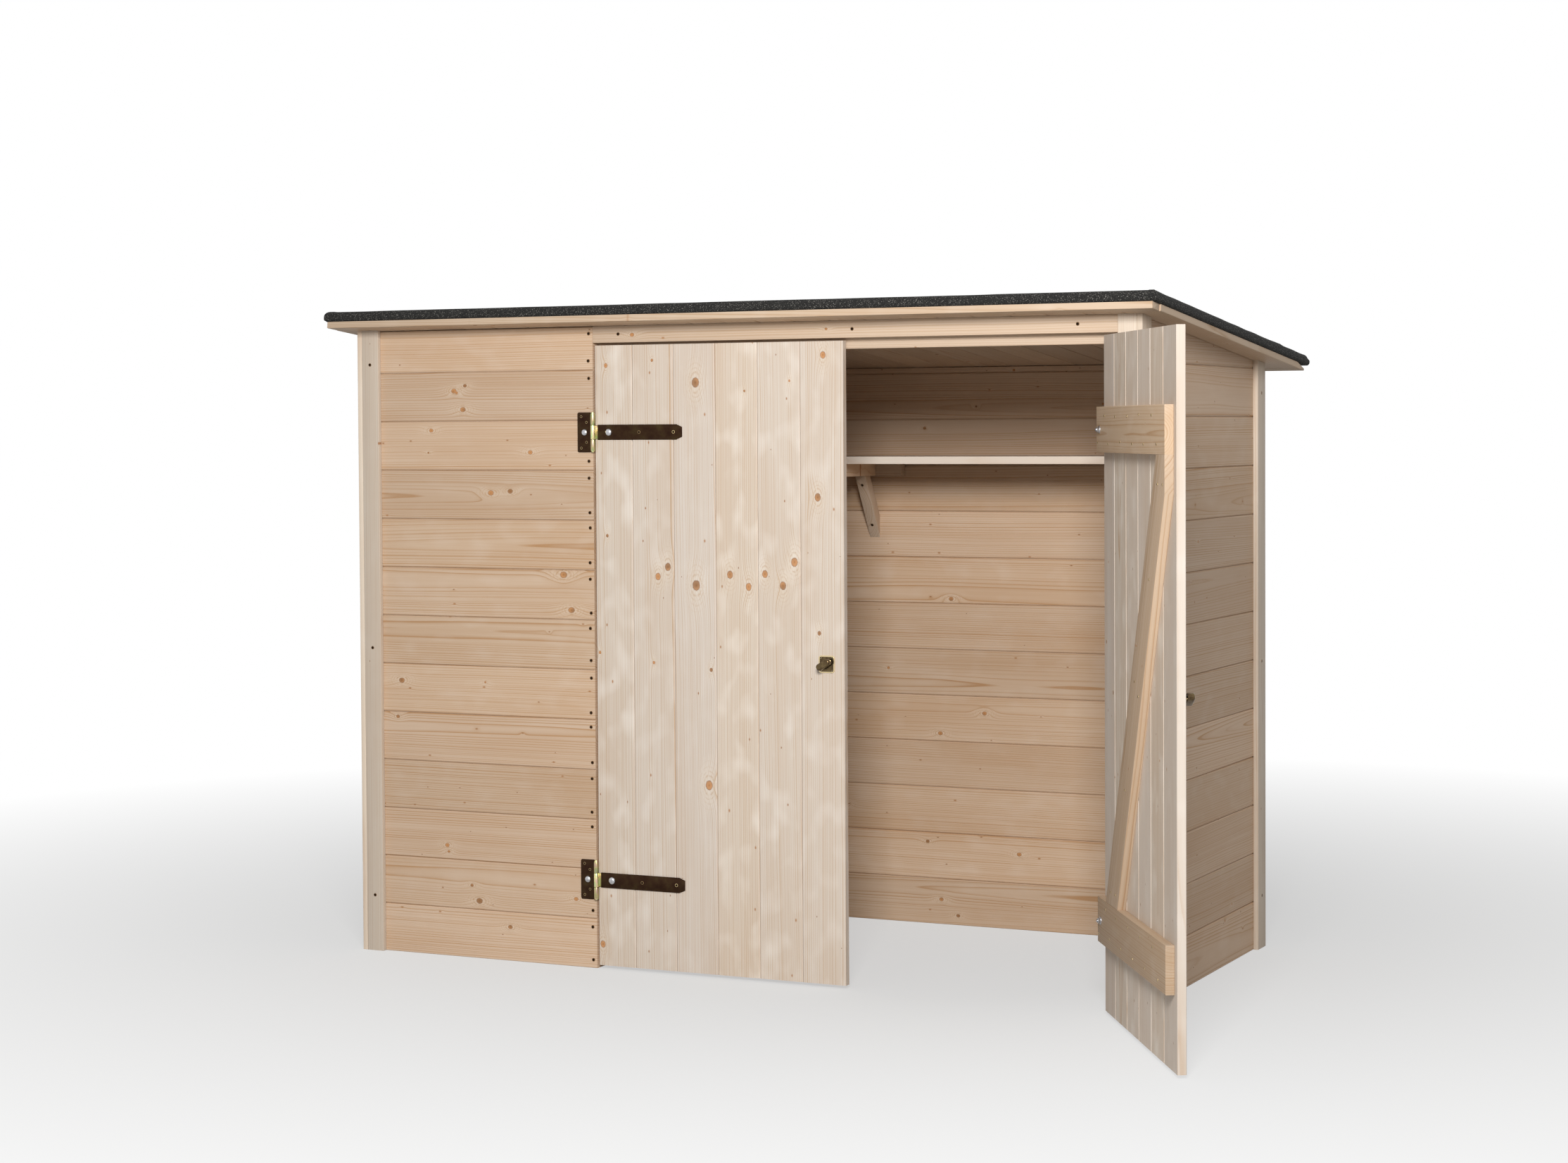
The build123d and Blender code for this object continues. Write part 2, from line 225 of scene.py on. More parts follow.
# Shared places
PANEL_LO, PANEL_HI = corners("front_panel")
LEFT_LO, LEFT_HI = corners("wall_left")
RIGHT_LO, RIGHT_HI = corners("wall_right")
BACK_LO, BACK_HI = corners("wall_back")
LEAF_LO, LEAF_HI = corners("door_left_leaf")
FRONT = PANEL_LO[1]
WALL = LEFT_HI[0] - LEFT_LO[0]
CREST = LEFT_HI[2]
SLOPE = (CREST - BACK_HI[2]) / (BACK_LO[1] - FRONT)
DOWN_ROOF = np.array((0.0, 1.0, -SLOPE)) / np.hypot(1.0, SLOPE)
UNDER_ROOF = np.cross(DOWN_ROOF, X)
HINGES = {joint["child"]: joint for joint in frame["joints"]}
PIN_LEFT = np.array(HINGES["door_left"]["pos_m"]) * (1, 1, 0)
PIN_RIGHT = np.array(HINGES["door_right"]["pos_m"]) * (1, 1, 0)


def ceiling(y):
    """Height of the roof boards' underside at a depth."""
    return CREST - SLOPE * (y - FRONT)


def roof_reach(node):
    """Where a roof piece starts and ends down the slope, from the front wall's face."""
    along = (vertices(node) - (0, FRONT, CREST)) @ DOWN_ROOF
    return along.min(), along.max()


def roof_rise(node):
    """Lowest and highest place of a roof piece, square to the ceiling."""
    up = -(vertices(node) - (0, FRONT, CREST)) @ UNDER_ROOF
    return up.min(), up.max()


# Shapes

def turns(outline):
    """Directions of the edges that meet at each corner of an outline, and their cross product."""
    edge = np.roll(outline, -1, axis=0) - outline
    v = edge / np.linalg.norm(edge, axis=1, keepdims=True)
    u = np.roll(v, 1, axis=0)
    return u, v, u[:, 0] * v[:, 1] - u[:, 1] * v[:, 0]


def inset(outline, amount):
    """Outline with every edge moved inwards by an amount.

    Where edges with directions u and v meet at p, the new corner is p + amount (v - u) / t, with t the
    cross product of u and v.
    """
    u, v, t = turns(outline)
    return outline + amount * (v - u) / t[:, None]


def rounded(outline, radius, steps=EASE_STEPS):
    """Convex outline with its corners rounded.

    At a corner p that turns from u to v through an angle, the arc starts at p - u r tan(angle / 2), and
    its point after a turn q is start + r (u sin q + n (1 - cos q)), with n the normal to the left of u.
    """
    u, v, t = turns(outline)
    angle = np.arctan2(t, (u * v).sum(1))
    start = outline - u * (radius * np.tan(angle / 2))[:, None]
    n = np.column_stack([-u[:, 1], u[:, 0]])
    q = (angle[:, None] * np.linspace(0, 1, steps + 1))[..., None]
    arcs = start[:, None] + radius * (u[:, None] * np.sin(q) + n[:, None] * (1 - np.cos(q)))
    return arcs.reshape(-1, 2)


def cad_outline(node, k):
    """Outline of a CAD timber's face at its high end along axis k, counter-clockwise seen from there."""
    co = vertices(node)
    i, j = (k + 1) % 3, (k + 2) % 3
    face = co[co[:, k] > co[:, k].max() - SAME_PLACE][:, (i, j)]
    points = np.unique(face.round(5), axis=0)
    middle = points.mean(0)
    turn = np.arctan2(points[:, 1] - middle[1], points[:, 0] - middle[0])
    return points[np.argsort(turn)]


def stacked_rings(rings):
    """Points and faces of a closed skin over equal rings, each counter-clockwise seen from the first."""
    count = len(rings[0])
    start = np.arange(count)
    after = (start + 1) % count
    quads = [np.stack([up + start, up + count + start, up + count + after, up + after], axis=1)
             for up in range(0, (len(rings) - 1) * count, count)]
    faces = np.concatenate(quads).tolist()
    last = (len(rings) - 1) * count
    faces.append(list(range(count)))
    faces.append(list(range(last + count - 1, last - 1, -1)))
    return np.concatenate(rings), faces


def flipped(shape):
    """A shape with its faces turned to look the other way."""
    co, faces = shape
    return co, [face[::-1] for face in faces]


def rim(face, radius, way=-1, steps=EASE_STEPS, inward=0.0):
    """Levels of a soft edge, as (inset, height), from its face on.

    It is a quarter circle: at angle q it is moved in by r (1 - sin q), and away from the face by
    r (1 - cos q).
    """
    q = np.linspace(0, np.pi / 2, steps + 1)
    return [(inward + radius * (1 - np.sin(a)), face + way * radius * (1 - np.cos(a))) for a in q]


def prism(outline, k, low, high):
    """Straight timber between two faces across axis k, its rims eased."""
    i, j = (k + 1) % 3, (k + 2) % 3
    rings = []
    for amount, height in rim(high, EASE) + rim(low, EASE, 1)[::-1]:
        ring = np.empty((len(outline), 3))
        ring[:, (i, j)] = inset(outline, amount)
        ring[:, k] = height
        rings.append(ring)
    return stacked_rings(rings)


def matched_section(width, thickness, vee, tongue, groove):
    """Matched-board section in (across, out), counter-clockwise, with its face at 0.

    Both faces are chamfered along a joint, and less along a plain edge. The tongue stands on the high
    edge and the groove is cut into the low edge, both centred in the thickness.
    """
    top = width / 2 - JOINT_SLIT * tongue
    foot = -width / 2
    mid = -thickness / 2
    stand = TONGUE_THICKNESS / 2
    cut = stand + GROOVE_SLACK
    deep = TONGUE + GROOVE_SLACK
    high = vee if tongue else PLAIN
    low = vee if groove else PLAIN
    section = [(top - high, -thickness), (top, high - thickness)]
    if tongue:
        tip = top + TONGUE
        section += [(top, mid - stand), (tip, mid - stand), (tip, mid + stand), (top, mid + stand)]
    section += [(top, -high), (top - high, 0.0), (foot + low, 0.0), (foot, -low)]
    if groove:
        section += [(foot, mid + cut), (foot + deep, mid + cut), (foot + deep, mid - cut), (foot, mid - cut)]
    section += [(foot, low - thickness), (foot + low, -thickness)]
    return np.array(section)


def matched_board(width, thickness, length, vee, tongue, groove, lift):
    """A matched board from 0 to length in (along, across, out). Its high edge rises by lift on its way."""
    section = matched_section(width, thickness, vee, tongue, groove)
    rings = []
    for s in (length, 0.0):
        rise = np.where(section[:, 0] > 0, lift * s / length, 0.0)
        rings.append(np.column_stack([np.full(len(section), s), section[:, 0] + rise, section[:, 1]]))
    return stacked_rings(rings)


def log_place(length, width, knots=(), flat=0.45, knotty=1.4):
    """Where a board lay in its log: the pith's place and drift, its tone, and its knots.

    Flat-sawn boards have the pith close behind them, and the others have it far to one side. Knotty is
    the number of chance knots to a metre. A knot is its place along and across from the board's middle,
    with its radius.
    """
    if rng.random() < flat:
        pith = np.array([rng.uniform(-0.35, 0.35) * width, rng.choice((-1, 1)) * rng.uniform(*FLAT_PITH)])
        drift = np.array([rng.normal(0, 0.006), rng.normal(0, 0.012)])
    else:
        pith = np.array([rng.choice((-1, 1)) * rng.uniform(*SIDE_PITH), rng.normal(0, 0.02)])
        drift = rng.normal(0, 0.004, 2)
    found = list(knots)
    for _ in range(rng.poisson(knotty * length)):
        found.append((rng.uniform(-0.48, 0.48) * length, rng.uniform(-0.42, 0.42) * width,
                      rng.uniform(*CHANCE_KNOTS)))
    found += [NO_KNOT] * KNOT_SLOTS
    return {"pith": pith, "drift": drift, "offset": rng.uniform(0, 30, 3), "tone": rng.normal(),
            "knots": found[:KNOT_SLOTS]}


def part_of(shape, **data):
    """A shape as a part, with the numbers of its vertices."""
    co, faces = shape
    return {"co": co, "faces": faces, "data": data}


def with_grain(shape, centre, axes, log):
    """A part with the numbers its wood needs at each vertex, all of them linear in place.

    ring is the place across and behind the pith line, grain the place along, across and out from the
    board's middle with the log's offset, and each knot the place along and across from its heart.
    """
    local = (shape[0] - centre) @ np.stack(axes, axis=1)
    s, a, h = local.T
    pith, drift = log["pith"], log["drift"]
    ring = np.column_stack([a - pith[0] - drift[0] * s, h - pith[1] - drift[1] * s, s])
    data = {"ring": ring, "grain": local + log["offset"], "tone": np.full(len(s), log["tone"])}
    for number, (ks, ka, kr) in enumerate(log["knots"]):
        data["knot%d" % number] = np.column_stack([s - ks, a - ka, np.full(len(s), kr)])
    return part_of(shape, **data)


def grained(shape, along, out):
    """A shape as wood whose grain runs along a direction."""
    across = np.cross(out, along)
    lo, hi = shape[0].min(0), shape[0].max(0)
    log = log_place(abs((hi - lo) @ along), abs((hi - lo) @ across), flat=0.5, knotty=1.2)
    return with_grain(shape, (lo + hi) / 2, (along, across, out), log)


def timber(node, k, along, out, round_section=False):
    """A planed timber in the CAD node's own outline across axis k, with grain along a direction."""
    lo, hi = corners(node)
    outline = cad_outline(node, k)
    if round_section:
        outline = rounded(outline, EASE)
    return grained(prism(outline, k, lo[k], hi[k]), along, out)


def batten(lo, hi, k, along, out):
    """A planed square-edged timber between two corners, its section across axis k rounded."""
    i, j = (k + 1) % 3, (k + 2) % 3
    outline = np.array([(lo[i], lo[j]), (hi[i], lo[j]), (hi[i], hi[j]), (lo[i], hi[j])])
    return grained(prism(rounded(outline, EASE), k, lo[k], hi[k]), along, out)


def board(origin, along, out, width, thickness, length, vee=VEE, tongue=True, groove=True, lift=0.0, **log):
    """A matched board whose face starts at origin, at the middle of its width."""
    co, faces = matched_board(width, thickness, length, vee, tongue, groove, lift)
    axes = along, np.cross(out, along), out
    shape = origin + co @ np.stack(axes), faces
    return with_grain(shape, origin + along * length / 2, axes, log_place(length, width, **log))


def joined(parts):
    """Parts as one set of points, faces and numbers."""
    starts = np.cumsum([0] + [len(part["co"]) for part in parts])
    faces = [[v + int(start) for v in face] for part, start in zip(parts, starts) for face in part["faces"]]
    data = {key: np.concatenate([part["data"][key] for part in parts]) for key in parts[0]["data"]}
    return {"co": np.concatenate([part["co"] for part in parts]), "faces": faces, "data": data}


def for_right_leaf(part):
    """A piece of the left leaf as its mirror image on the right leaf, which rests open.

    The place about the left pin is mirrored in X, turned about Z by the opening angle a as
    (x cos a - y sin a, x sin a + y cos a), and set on the right pin.
    """
    a = np.radians(-HINGES["door_right"]["range_deg"][0])
    x, y, z = (part["co"] - PIN_LEFT).T
    turned = np.column_stack([-x * np.cos(a) - y * np.sin(a), -x * np.sin(a) + y * np.cos(a), z])
    return part_of(flipped((PIN_RIGHT + turned, part["faces"])), **part["data"])


def shown(name, mesh, body, material, nodes):
    """Links a mesh as a piece on a body, with its material, in place of CAD nodes."""
    mesh.materials.clear()
    mesh.materials.append(material)
    mesh.update()
    made = bpy.data.objects.new(name, mesh)
    bpy.context.scene.collection.objects.link(made)
    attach(made, body)
    if nodes:
        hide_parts(*nodes)


def smoothed(mesh, angle):
    """Shades a mesh smooth, apart from edges sharper than an angle in degrees."""
    mesh.polygons.foreach_set("use_smooth", [True] * len(mesh.polygons))
    mesh.set_sharp_from_angle(angle=np.radians(angle))


def piece(name, part, body, material, nodes=(), smooth=None):
    """Makes a part a mesh, with its numbers as attributes, and shows it."""
    mesh = bpy.data.meshes.new(name)
    mesh.from_pydata(part["co"].tolist(), [], part["faces"])
    for key, values in part["data"].items():
        kind = "FLOAT" if values.ndim == 1 else "FLOAT_VECTOR"
        layer = mesh.attributes.new(key, kind, "POINT")
        layer.data.foreach_set("value" if kind == "FLOAT" else "vector", values.astype(np.float32).ravel())
    if smooth is not None:
        smoothed(mesh, smooth)
    shown(name, mesh, body, material, nodes)


# Materials

class Graph:
    """Short words for adding and linking shader nodes."""

    def __init__(self, tree):
        self.tree = tree

    def add(self, kind, **settings):
        made = self.tree.nodes.new(kind)
        for key, value in settings.items():
            setattr(made, key, value)
        return made

    def set(self, socket, value):
        if isinstance(value, bpy.types.NodeSocket):
            self.tree.links.new(value, socket)
        else:
            socket.default_value = value

    def filled(self, made, *values):
        for socket, value in zip(made.inputs, values):
            self.set(socket, value)
        return made.outputs

    def math(self, operation, *values, clamp=False):
        return self.filled(self.add("ShaderNodeMath", operation=operation, use_clamp=clamp), *values)[0]

    def times(self, a, b, clamp=False):
        return self.math("MULTIPLY", a, b, clamp=clamp)

    def times_plus(self, a, b, c):
        return self.math("MULTIPLY_ADD", a, b, c)

    def plus(self, a, b):
        return self.math("ADD", a, b)

    def centred(self, value):
        return self.math("SUBTRACT", value, 0.5)

    def length(self, a, b):
        return self.math("SQRT", self.times_plus(a, a, self.times(b, b)))

    def bell(self, value):
        return self.math("EXPONENT", self.times(self.times(value, value), -1.0))

    def attribute(self, name, output="Vector"):
        return self.add("ShaderNodeAttribute", attribute_type="GEOMETRY", attribute_name=name).outputs[output]

    def parts(self, vector):
        return self.filled(self.add("ShaderNodeSeparateXYZ"), vector)

    def vector(self, *values):
        return self.filled(self.add("ShaderNodeCombineXYZ"), *values)[0]

    def scaled(self, vector, scale):
        return self.filled(self.add("ShaderNodeVectorMath", operation="MULTIPLY"), vector, scale)[0]

    def noise(self, vector, scale, detail=2.0, roughness=0.5):
        made = self.add("ShaderNodeTexNoise")
        if isinstance(scale, tuple):
            vector, scale = self.scaled(vector, scale), 1.0
        self.set(made.inputs["Vector"], vector)
        made.inputs["Scale"].default_value = scale
        made.inputs["Detail"].default_value = detail
        made.inputs["Roughness"].default_value = roughness
        return made.outputs["Fac"]

    def cells(self, vector, scale, dimensions="3D"):
        made = self.add("ShaderNodeTexVoronoi", voronoi_dimensions=dimensions, feature="F1")
        self.set(made.inputs["Vector"], vector)
        made.inputs["Scale"].default_value = scale
        return made.outputs

    def mix(self, share, first, second):
        made = self.add("ShaderNodeMix", data_type="RGBA")
        self.set(made.inputs[0], share)
        for socket, value in ((made.inputs[6], first), (made.inputs[7], second)):
            self.set(socket, value if isinstance(value, bpy.types.NodeSocket) else (*value, 1.0))
        return made.outputs[2]

    def ramp(self, value, *stops):
        made = self.add("ShaderNodeValToRGB")
        self.set(made.inputs[0], value)
        band = made.color_ramp
        while len(band.elements) < len(stops):
            band.elements.new(0.5)
        for element, (place, level) in zip(band.elements, stops):
            element.position = place
            element.color = (level, level, level, 1.0) if np.isscalar(level) else (*level, 1.0)
        return made.outputs[0]


def knot_marks(g):
    """How near the closest knot's heart and its rings are, in its radii, and the humps round the knots.

    A heart is a little longer along the grain than across, and its rings are longer still. A hump is
    exp(-s s) of a distance s in the knot's radii. dip is the sum of the humps, and raised is their sum
    with each as high as its knot's radius.
    """
    nearest = 99.0
    around = 99.0
    dip = 0.0
    raised = 0.0
    for number in range(KNOT_SLOTS):
        ks, ka, kr = g.parts(g.attribute("knot%d" % number))
        ks, ka = g.math("DIVIDE", ks, kr), g.math("DIVIDE", ka, kr)
        nearest = g.math("MINIMUM", g.length(g.times(ks, 0.8), ka), nearest)
        around = g.math("MINIMUM", g.length(g.times(ks, 0.55), ka), around)
        hump = g.bell(g.length(g.times(ks, 0.18), g.times(ka, 0.38)))
        dip = g.plus(hump, dip)
        raised = g.times_plus(hump, kr, raised)
    return nearest, around, dip, raised


def pin_knots(g, grain, share):
    """The next pin knot's distance in its radii, and its size. A cell of an uneven net holds one at most."""
    net = g.cells(g.scaled(grain, (8.0, 14.0, 0.0)), 1.0, "2D")
    chance, size, _ = g.parts(net["Color"])
    pin = g.math("DIVIDE", net["Distance"], g.times_plus(size, 0.022, 0.010))
    return g.plus(pin, g.times(g.math("GREATER_THAN", chance, share), 99.0)), size


def late_wood(g, grain, tone, raised, pin, given):
    """How much late wood shows, from 0 to 1.

    The distance from the pith line gets a slow and a quick wobble and a hump at each knot, and is counted in
    ring widths that are themselves uneven. Each ring darkens towards a sharp late edge, and rings and
    stretches of the board differ in how bold they are.
    """
    across, behind, _ = g.parts(g.attribute("ring"))
    radius = g.length(across, behind)
    slow = g.noise(grain, (1.1, 13.0, 13.0), 1.5)
    quick = g.noise(grain, (5.0, 70.0, 70.0), 1.0)
    radius = g.times_plus(g.centred(slow), 0.016, radius)
    radius = g.times_plus(g.centred(quick), 0.0016, radius)
    radius = g.times_plus(raised, 1.8, radius)
    radius = g.times_plus(g.bell(g.times(pin, 0.35)), 0.0018, radius)
    rings = g.math("DIVIDE", radius, given["Ring width"])
    uneven = g.noise(g.vector(g.times(rings, 0.42), g.times(tone, 9.0)), 1.0, 1.0)
    rings = g.times_plus(g.centred(uneven), 2.6, rings)
    year = g.add("ShaderNodeTexWhiteNoise", noise_dimensions="2D")
    g.set(year.inputs["Vector"], g.vector(g.math("FLOOR", rings), tone))
    late = g.ramp(g.math("FRACT", rings), (0.0, 0.10), (0.40, 0.0), (0.76, 0.30), (0.93, 1.0), (1.0, 0.10))
    bold = g.times_plus(g.noise(grain, (0.7, 30.0, 30.0), 1.0), 1.2, 0.35)
    bold = g.times(bold, g.times_plus(year.outputs["Value"], 1.1, 0.35))
    return g.times(late, g.times(given["Line strength"], bold), clamp=True)


def plain_wood(g, grain, tone, late, fibre, given):
    """Colour of the wood apart from its knots: rings, fibres, blotches, pale patches of painted sheen and the
    board's tone.
    """
    darker = given["Late wood"]
    colour = g.mix(late, given["Early wood"], darker)
    colour = g.mix(g.times(g.ramp(fibre, (0.38, 0.0), (0.72, 1.0)), 0.16), colour, darker)
    blotch = g.noise(grain, (1.7, 13.0, 13.0), 2.0)
    colour = g.mix(g.times(g.ramp(blotch, (0.42, 0.0), (0.75, 1.0)), 0.34), colour, darker)
    # Pale patches of painted sheen that stand in for the lamp's highlights on the planed faces, stronger on
    # some boards
    painted_sheen_patch = g.ramp(g.noise(grain, (15.0, 27.0, 6.0), 1.0, 0.4), (0.50, 0.0), (0.80, 1.0))
    hue = g.add("ShaderNodeTexWhiteNoise", noise_dimensions="1D")
    g.set(hue.inputs["W"], tone)
    painted_sheen_board = g.ramp(hue.outputs["Value"], (0.30, 0.15), (0.70, 1.0))
    colour = g.mix(g.times(g.times(painted_sheen_patch, painted_sheen_board), given["Painted sheen"], clamp=True), colour, PAINTED_SHEEN)
    shade = g.times_plus(tone, given["Board contrast"], 1.0)
    warm = g.centred(hue.outputs["Value"])
    return g.scaled(colour, g.vector(*[g.times_plus(warm, change, shade) for change in (0.0, -0.035, -0.10)]))


def knotted_wood(g, grain, colour, nearest, around, dip, pin, size, given):
    """Colour of the wood with its knots.

    A knot has a pale halo of painted sheen where the grain dips round it, broken rings and a brown heart with
    a thin dark rim. A pin knot is a dark dot.
    """
    ragged = g.times(g.centred(g.noise(grain, 420.0, 1.0)), 0.35)
    # The pale halo round each knot is painted sheen, where the grain dips round it
    colour = g.mix(g.times(g.math("MINIMUM", dip, 1.0), 0.20), colour, KNOT_PAINTED_SHEEN)
    broken = g.ramp(g.noise(grain, 150.0, 1.0), (0.36, 0.1), (0.60, 1.0))
    swirl = g.ramp(g.times(g.times_plus(ragged, 0.8, around), 0.25), (0.30, 0.0), (0.385, 0.75), (0.42, 0.1),
                   (0.49, 0.0), (0.54, 0.55), (0.57, 0.0), (0.66, 0.0), (0.72, 0.35), (0.75, 0.0),
                   (0.88, 0.0), (0.93, 0.18), (0.96, 0.0))
    colour = g.mix(g.times(swirl, broken), colour, given["Late wood"])
    core = g.times(g.plus(nearest, ragged), 0.5)
    heart = g.ramp(core, (0.0, 0.95), (0.40, 0.85), (0.49, 0.85), (0.54, 0.25), (0.60, 0.0))
    inner = g.ramp(core, (0.0, 0.7), (0.12, 0.1), (0.38, 0.0), (0.46, 0.35), (0.50, 0.85))
    dark = g.ramp(g.noise(grain, 30.0, 0.0), (0.38, 0.60), (0.50, 0.90), (0.62, 1.10))
    colour = g.mix(heart, colour, g.mix(inner, g.scaled(given["Knot heart"], dark), KNOT_RIM))
    dot = g.ramp(g.times(pin, 0.5), (0.0, 0.90), (0.32, 0.80), (0.50, 0.20), (0.80, 0.0))
    return g.mix(dot, colour, g.mix(size, *PIN_KNOTS))


def spruce_group():
    """Planed spruce, coloured from the numbers of with_grain, with its grain as a height for a bump."""
    tree = bpy.data.node_groups.new("spruce", "ShaderNodeTree")
    for name in ("Early wood", "Late wood", "Knot heart"):
        tree.interface.new_socket(name, in_out="INPUT", socket_type="NodeSocketColor")
    # One of these inputs is the share of painted sheen on the planed faces
    for name in ("Ring width", "Line strength", "Board contrast", "Painted sheen", "Pin knots"):
        tree.interface.new_socket(name, in_out="INPUT", socket_type="NodeSocketFloat")
    tree.interface.new_socket("Color", in_out="OUTPUT", socket_type="NodeSocketColor")
    tree.interface.new_socket("Height", in_out="OUTPUT", socket_type="NodeSocketFloat")
    g = Graph(tree)
    given = g.add("NodeGroupInput").outputs
    grain = g.attribute("grain")
    tone = g.attribute("tone", "Fac")
    nearest, around, dip, raised = knot_marks(g)
    pin, size = pin_knots(g, grain, given["Pin knots"])
    late = late_wood(g, grain, tone, raised, pin, given)
    fibre = g.noise(grain, (7.0, 620.0, 620.0), 2.0, 0.6)
    colour = plain_wood(g, grain, tone, late, fibre, given)
    colour = knotted_wood(g, grain, colour, nearest, around, dip, pin, size, given)
    g.filled(g.add("NodeGroupOutput"), colour, g.times_plus(late, 0.6, g.times(fibre, 0.5)))
    return tree


def surface(name, roughness, metallic=0.0, specular=0.5):
    """A new material, its graph and its shader."""
    made = bpy.data.materials.new(name)
    made.use_nodes = True
    shader = made.node_tree.nodes["Principled BSDF"]
    shader.inputs["Roughness"].default_value = roughness
    shader.inputs["Metallic"].default_value = metallic
    shader.inputs["Specular IOR Level"].default_value = specular
    return made, Graph(made.node_tree), shader


def bumped(g, shader, height, strength, distance):
    """Gives a shader a bump."""
    bump = g.add("ShaderNodeBump")
    bump.inputs["Strength"].default_value = strength
    bump.inputs["Distance"].default_value = distance
    g.set(bump.inputs["Height"], height)
    g.set(shader.inputs["Normal"], bump.outputs[0])


def wood(name, tones, ring_width=0.0052, lines=0.95, contrast=0.045, painted_sheen=0.10, pins=0.5):
    """Raw planed spruce in an early and a late tone, with a share of painted sheen."""
    made, g, shader = surface(name, 0.58, specular=0.22)
    group = g.add("ShaderNodeGroup", node_tree=SPRUCE)
    colours = [(*tone, 1.0) for tone in (*tones, KNOT_HEART)]
    g.filled(group, *colours, ring_width, lines, contrast, painted_sheen, pins)
    g.set(shader.inputs["Base Color"], group.outputs["Color"])
    bumped(g, shader, group.outputs["Height"], 0.35, 0.0004)
    return made


def place_from(g, point=(0.0, 0.0, 0.0)):
    """The place on the piece, measured from a point."""
    mapping = g.add("ShaderNodeMapping")
    g.set(mapping.inputs["Vector"], g.add("ShaderNodeTexCoord").outputs["Object"])
    mapping.inputs["Location"].default_value = [-value for value in point]
    return mapping.outputs[0]


def felt_finish():
    """Mineral felt: near-black granules of several greys, a few bright ones, matt."""
    made, g, shader = surface("mineral felt", 0.92, specular=0.25)
    place = place_from(g)
    grit = g.cells(place, 760.0)
    colour = g.ramp(g.parts(grit["Color"])[0], (0.0, (0.008, 0.008, 0.008)), (0.6, (0.018, 0.017, 0.016)),
                    (0.9, (0.042, 0.041, 0.037)), (0.97, (0.22, 0.21, 0.19)))
    cloud = g.noise(place, 9.0, 3.0)
    colour = g.mix(g.times(cloud, 0.35), colour, (0.030, 0.029, 0.027))
    g.set(shader.inputs["Base Color"], colour)
    bumped(g, shader, g.times_plus(cloud, 2.0, grit["Distance"]), 0.6, 0.0012)
    return made


def hinge_finish(name, pin, reach):
    """Bronzed steel with a yellow-passivated zinc barrel, as far as a reach round the pin."""
    made, g, shader = surface(name, 0.30, metallic=0.9)
    place = place_from(g, pin)
    px, py, _ = g.parts(place)
    barrel = g.ramp(g.length(px, py), (reach, 1.0), (reach + BARREL_EDGE, 0.0))
    cloud = g.noise(place, 38.0, 3.0, 0.6)
    bronze = g.ramp(cloud, (0.3, (0.026, 0.010, 0.005)), (0.5, (0.038, 0.018, 0.008)),
                    (0.75, (0.056, 0.036, 0.013)))
    bands = g.noise(g.scaled(place, (1.0, 1.0, 0.35)), 160.0, 1.0)
    zinc = g.ramp(bands, (0.30, (0.75, 0.50, 0.42)), (0.45, (0.80, 0.68, 0.34)), (0.6, (0.55, 0.66, 0.30)),
                  (0.75, (0.80, 0.80, 0.62)))
    g.set(shader.inputs["Base Color"], g.mix(barrel, bronze, zinc))
    bumped(g, shader, cloud, 0.12, 0.0005)
    return made


def knob_finish():
    """Bronzed grip and rosette with brassy clouding, on a base of yellow zinc."""
    made, g, shader = surface("turn knob bronze", 0.24, metallic=0.95)
    cloud = g.noise(place_from(g), 90.0, 3.0, 0.6)
    bronze = g.ramp(cloud, (0.35, (0.070, 0.042, 0.022)), (0.65, (0.16, 0.115, 0.055)))
    g.set(shader.inputs["Base Color"], g.mix(g.attribute("zinc", "Fac"), bronze, (0.74, 0.60, 0.36)))
    bumped(g, shader, cloud, 0.1, 0.0003)
    return made


def fixings_finish():
    """Steel fixings, plated from bronze over yellow to bright by their own number, with painted shade near
    black in the hollows of their heads.
    """
    made, g, shader = surface("steel fixings", 0.28, metallic=1.0)
    cloud = g.noise(place_from(g), 240.0, 2.0)
    tone = g.ramp(g.attribute("plating", "Fac"), (0.0, BRONZED), (0.5, YELLOW_ZINC), (1.0, BRIGHT_ZINC))
    worn = g.scaled(tone, (0.72, 0.72, 0.72))
    tone = g.mix(g.ramp(cloud, (0.35, 0.0), (0.7, 1.0)), tone, worn)
    # Painted shade: the hollows of the heads are mixed towards near black
    g.set(shader.inputs["Base Color"], g.mix(g.attribute("recess", "Fac"), tone, RECESS_PAINTED_SHADE))
    bumped(g, shader, cloud, 0.08, 0.0002)
    return made


SPRUCE = spruce_group()
WALL_FINISH = wood("wall spruce", WALL_WOOD)
DOOR_FINISH = wood("door spruce", DOOR_WOOD, 0.0046, lines=0.90, contrast=0.03, painted_sheen=0.42, pins=0.6)
TRIM_FINISH = wood("trim spruce", TRIM_WOOD, lines=0.65, painted_sheen=0.15, pins=0.35)
FRAME_FINISH = wood("frame spruce", FRAME_WOOD, pins=0.35)
LEDGE_FINISH = wood("ledge spruce", LEDGE_WOOD, pins=0.35)
PALE_FINISH = wood("shelf spruce", PALE_WOOD, lines=0.45, pins=0.3)


# Boarding

def boarded_wall(face, along, out, length, top, far_top=None, knots=()):
    """Courses of matched boards up from the ground, the top one cut to the roof's slope.

    The wall's face starts at a point on the ground, and knots are (along, height) from there.
    """
    far_top = top if far_top is None else far_top
    edges = np.append(0.0, np.arange(FIRST_COURSE, max(top, far_top) - VEE * 4, COVER))
    parts = []
    for number, low in enumerate(edges):
        last = number == len(edges) - 1
        high = top if last else edges[number + 1]
        middle = (low + high) / 2
        chosen = [(s - length / 2, z - middle, r) for s, z, r in knots if low < z < high]
        origin = face - out * rng.uniform(0.0, SEASONING) + Z * middle
        parts.append(board(origin, along, out, high - low, WALL, length, tongue=not last, groove=number > 0,
                           lift=(far_top - top) if last else 0.0, knots=chosen))
    return joined(parts)


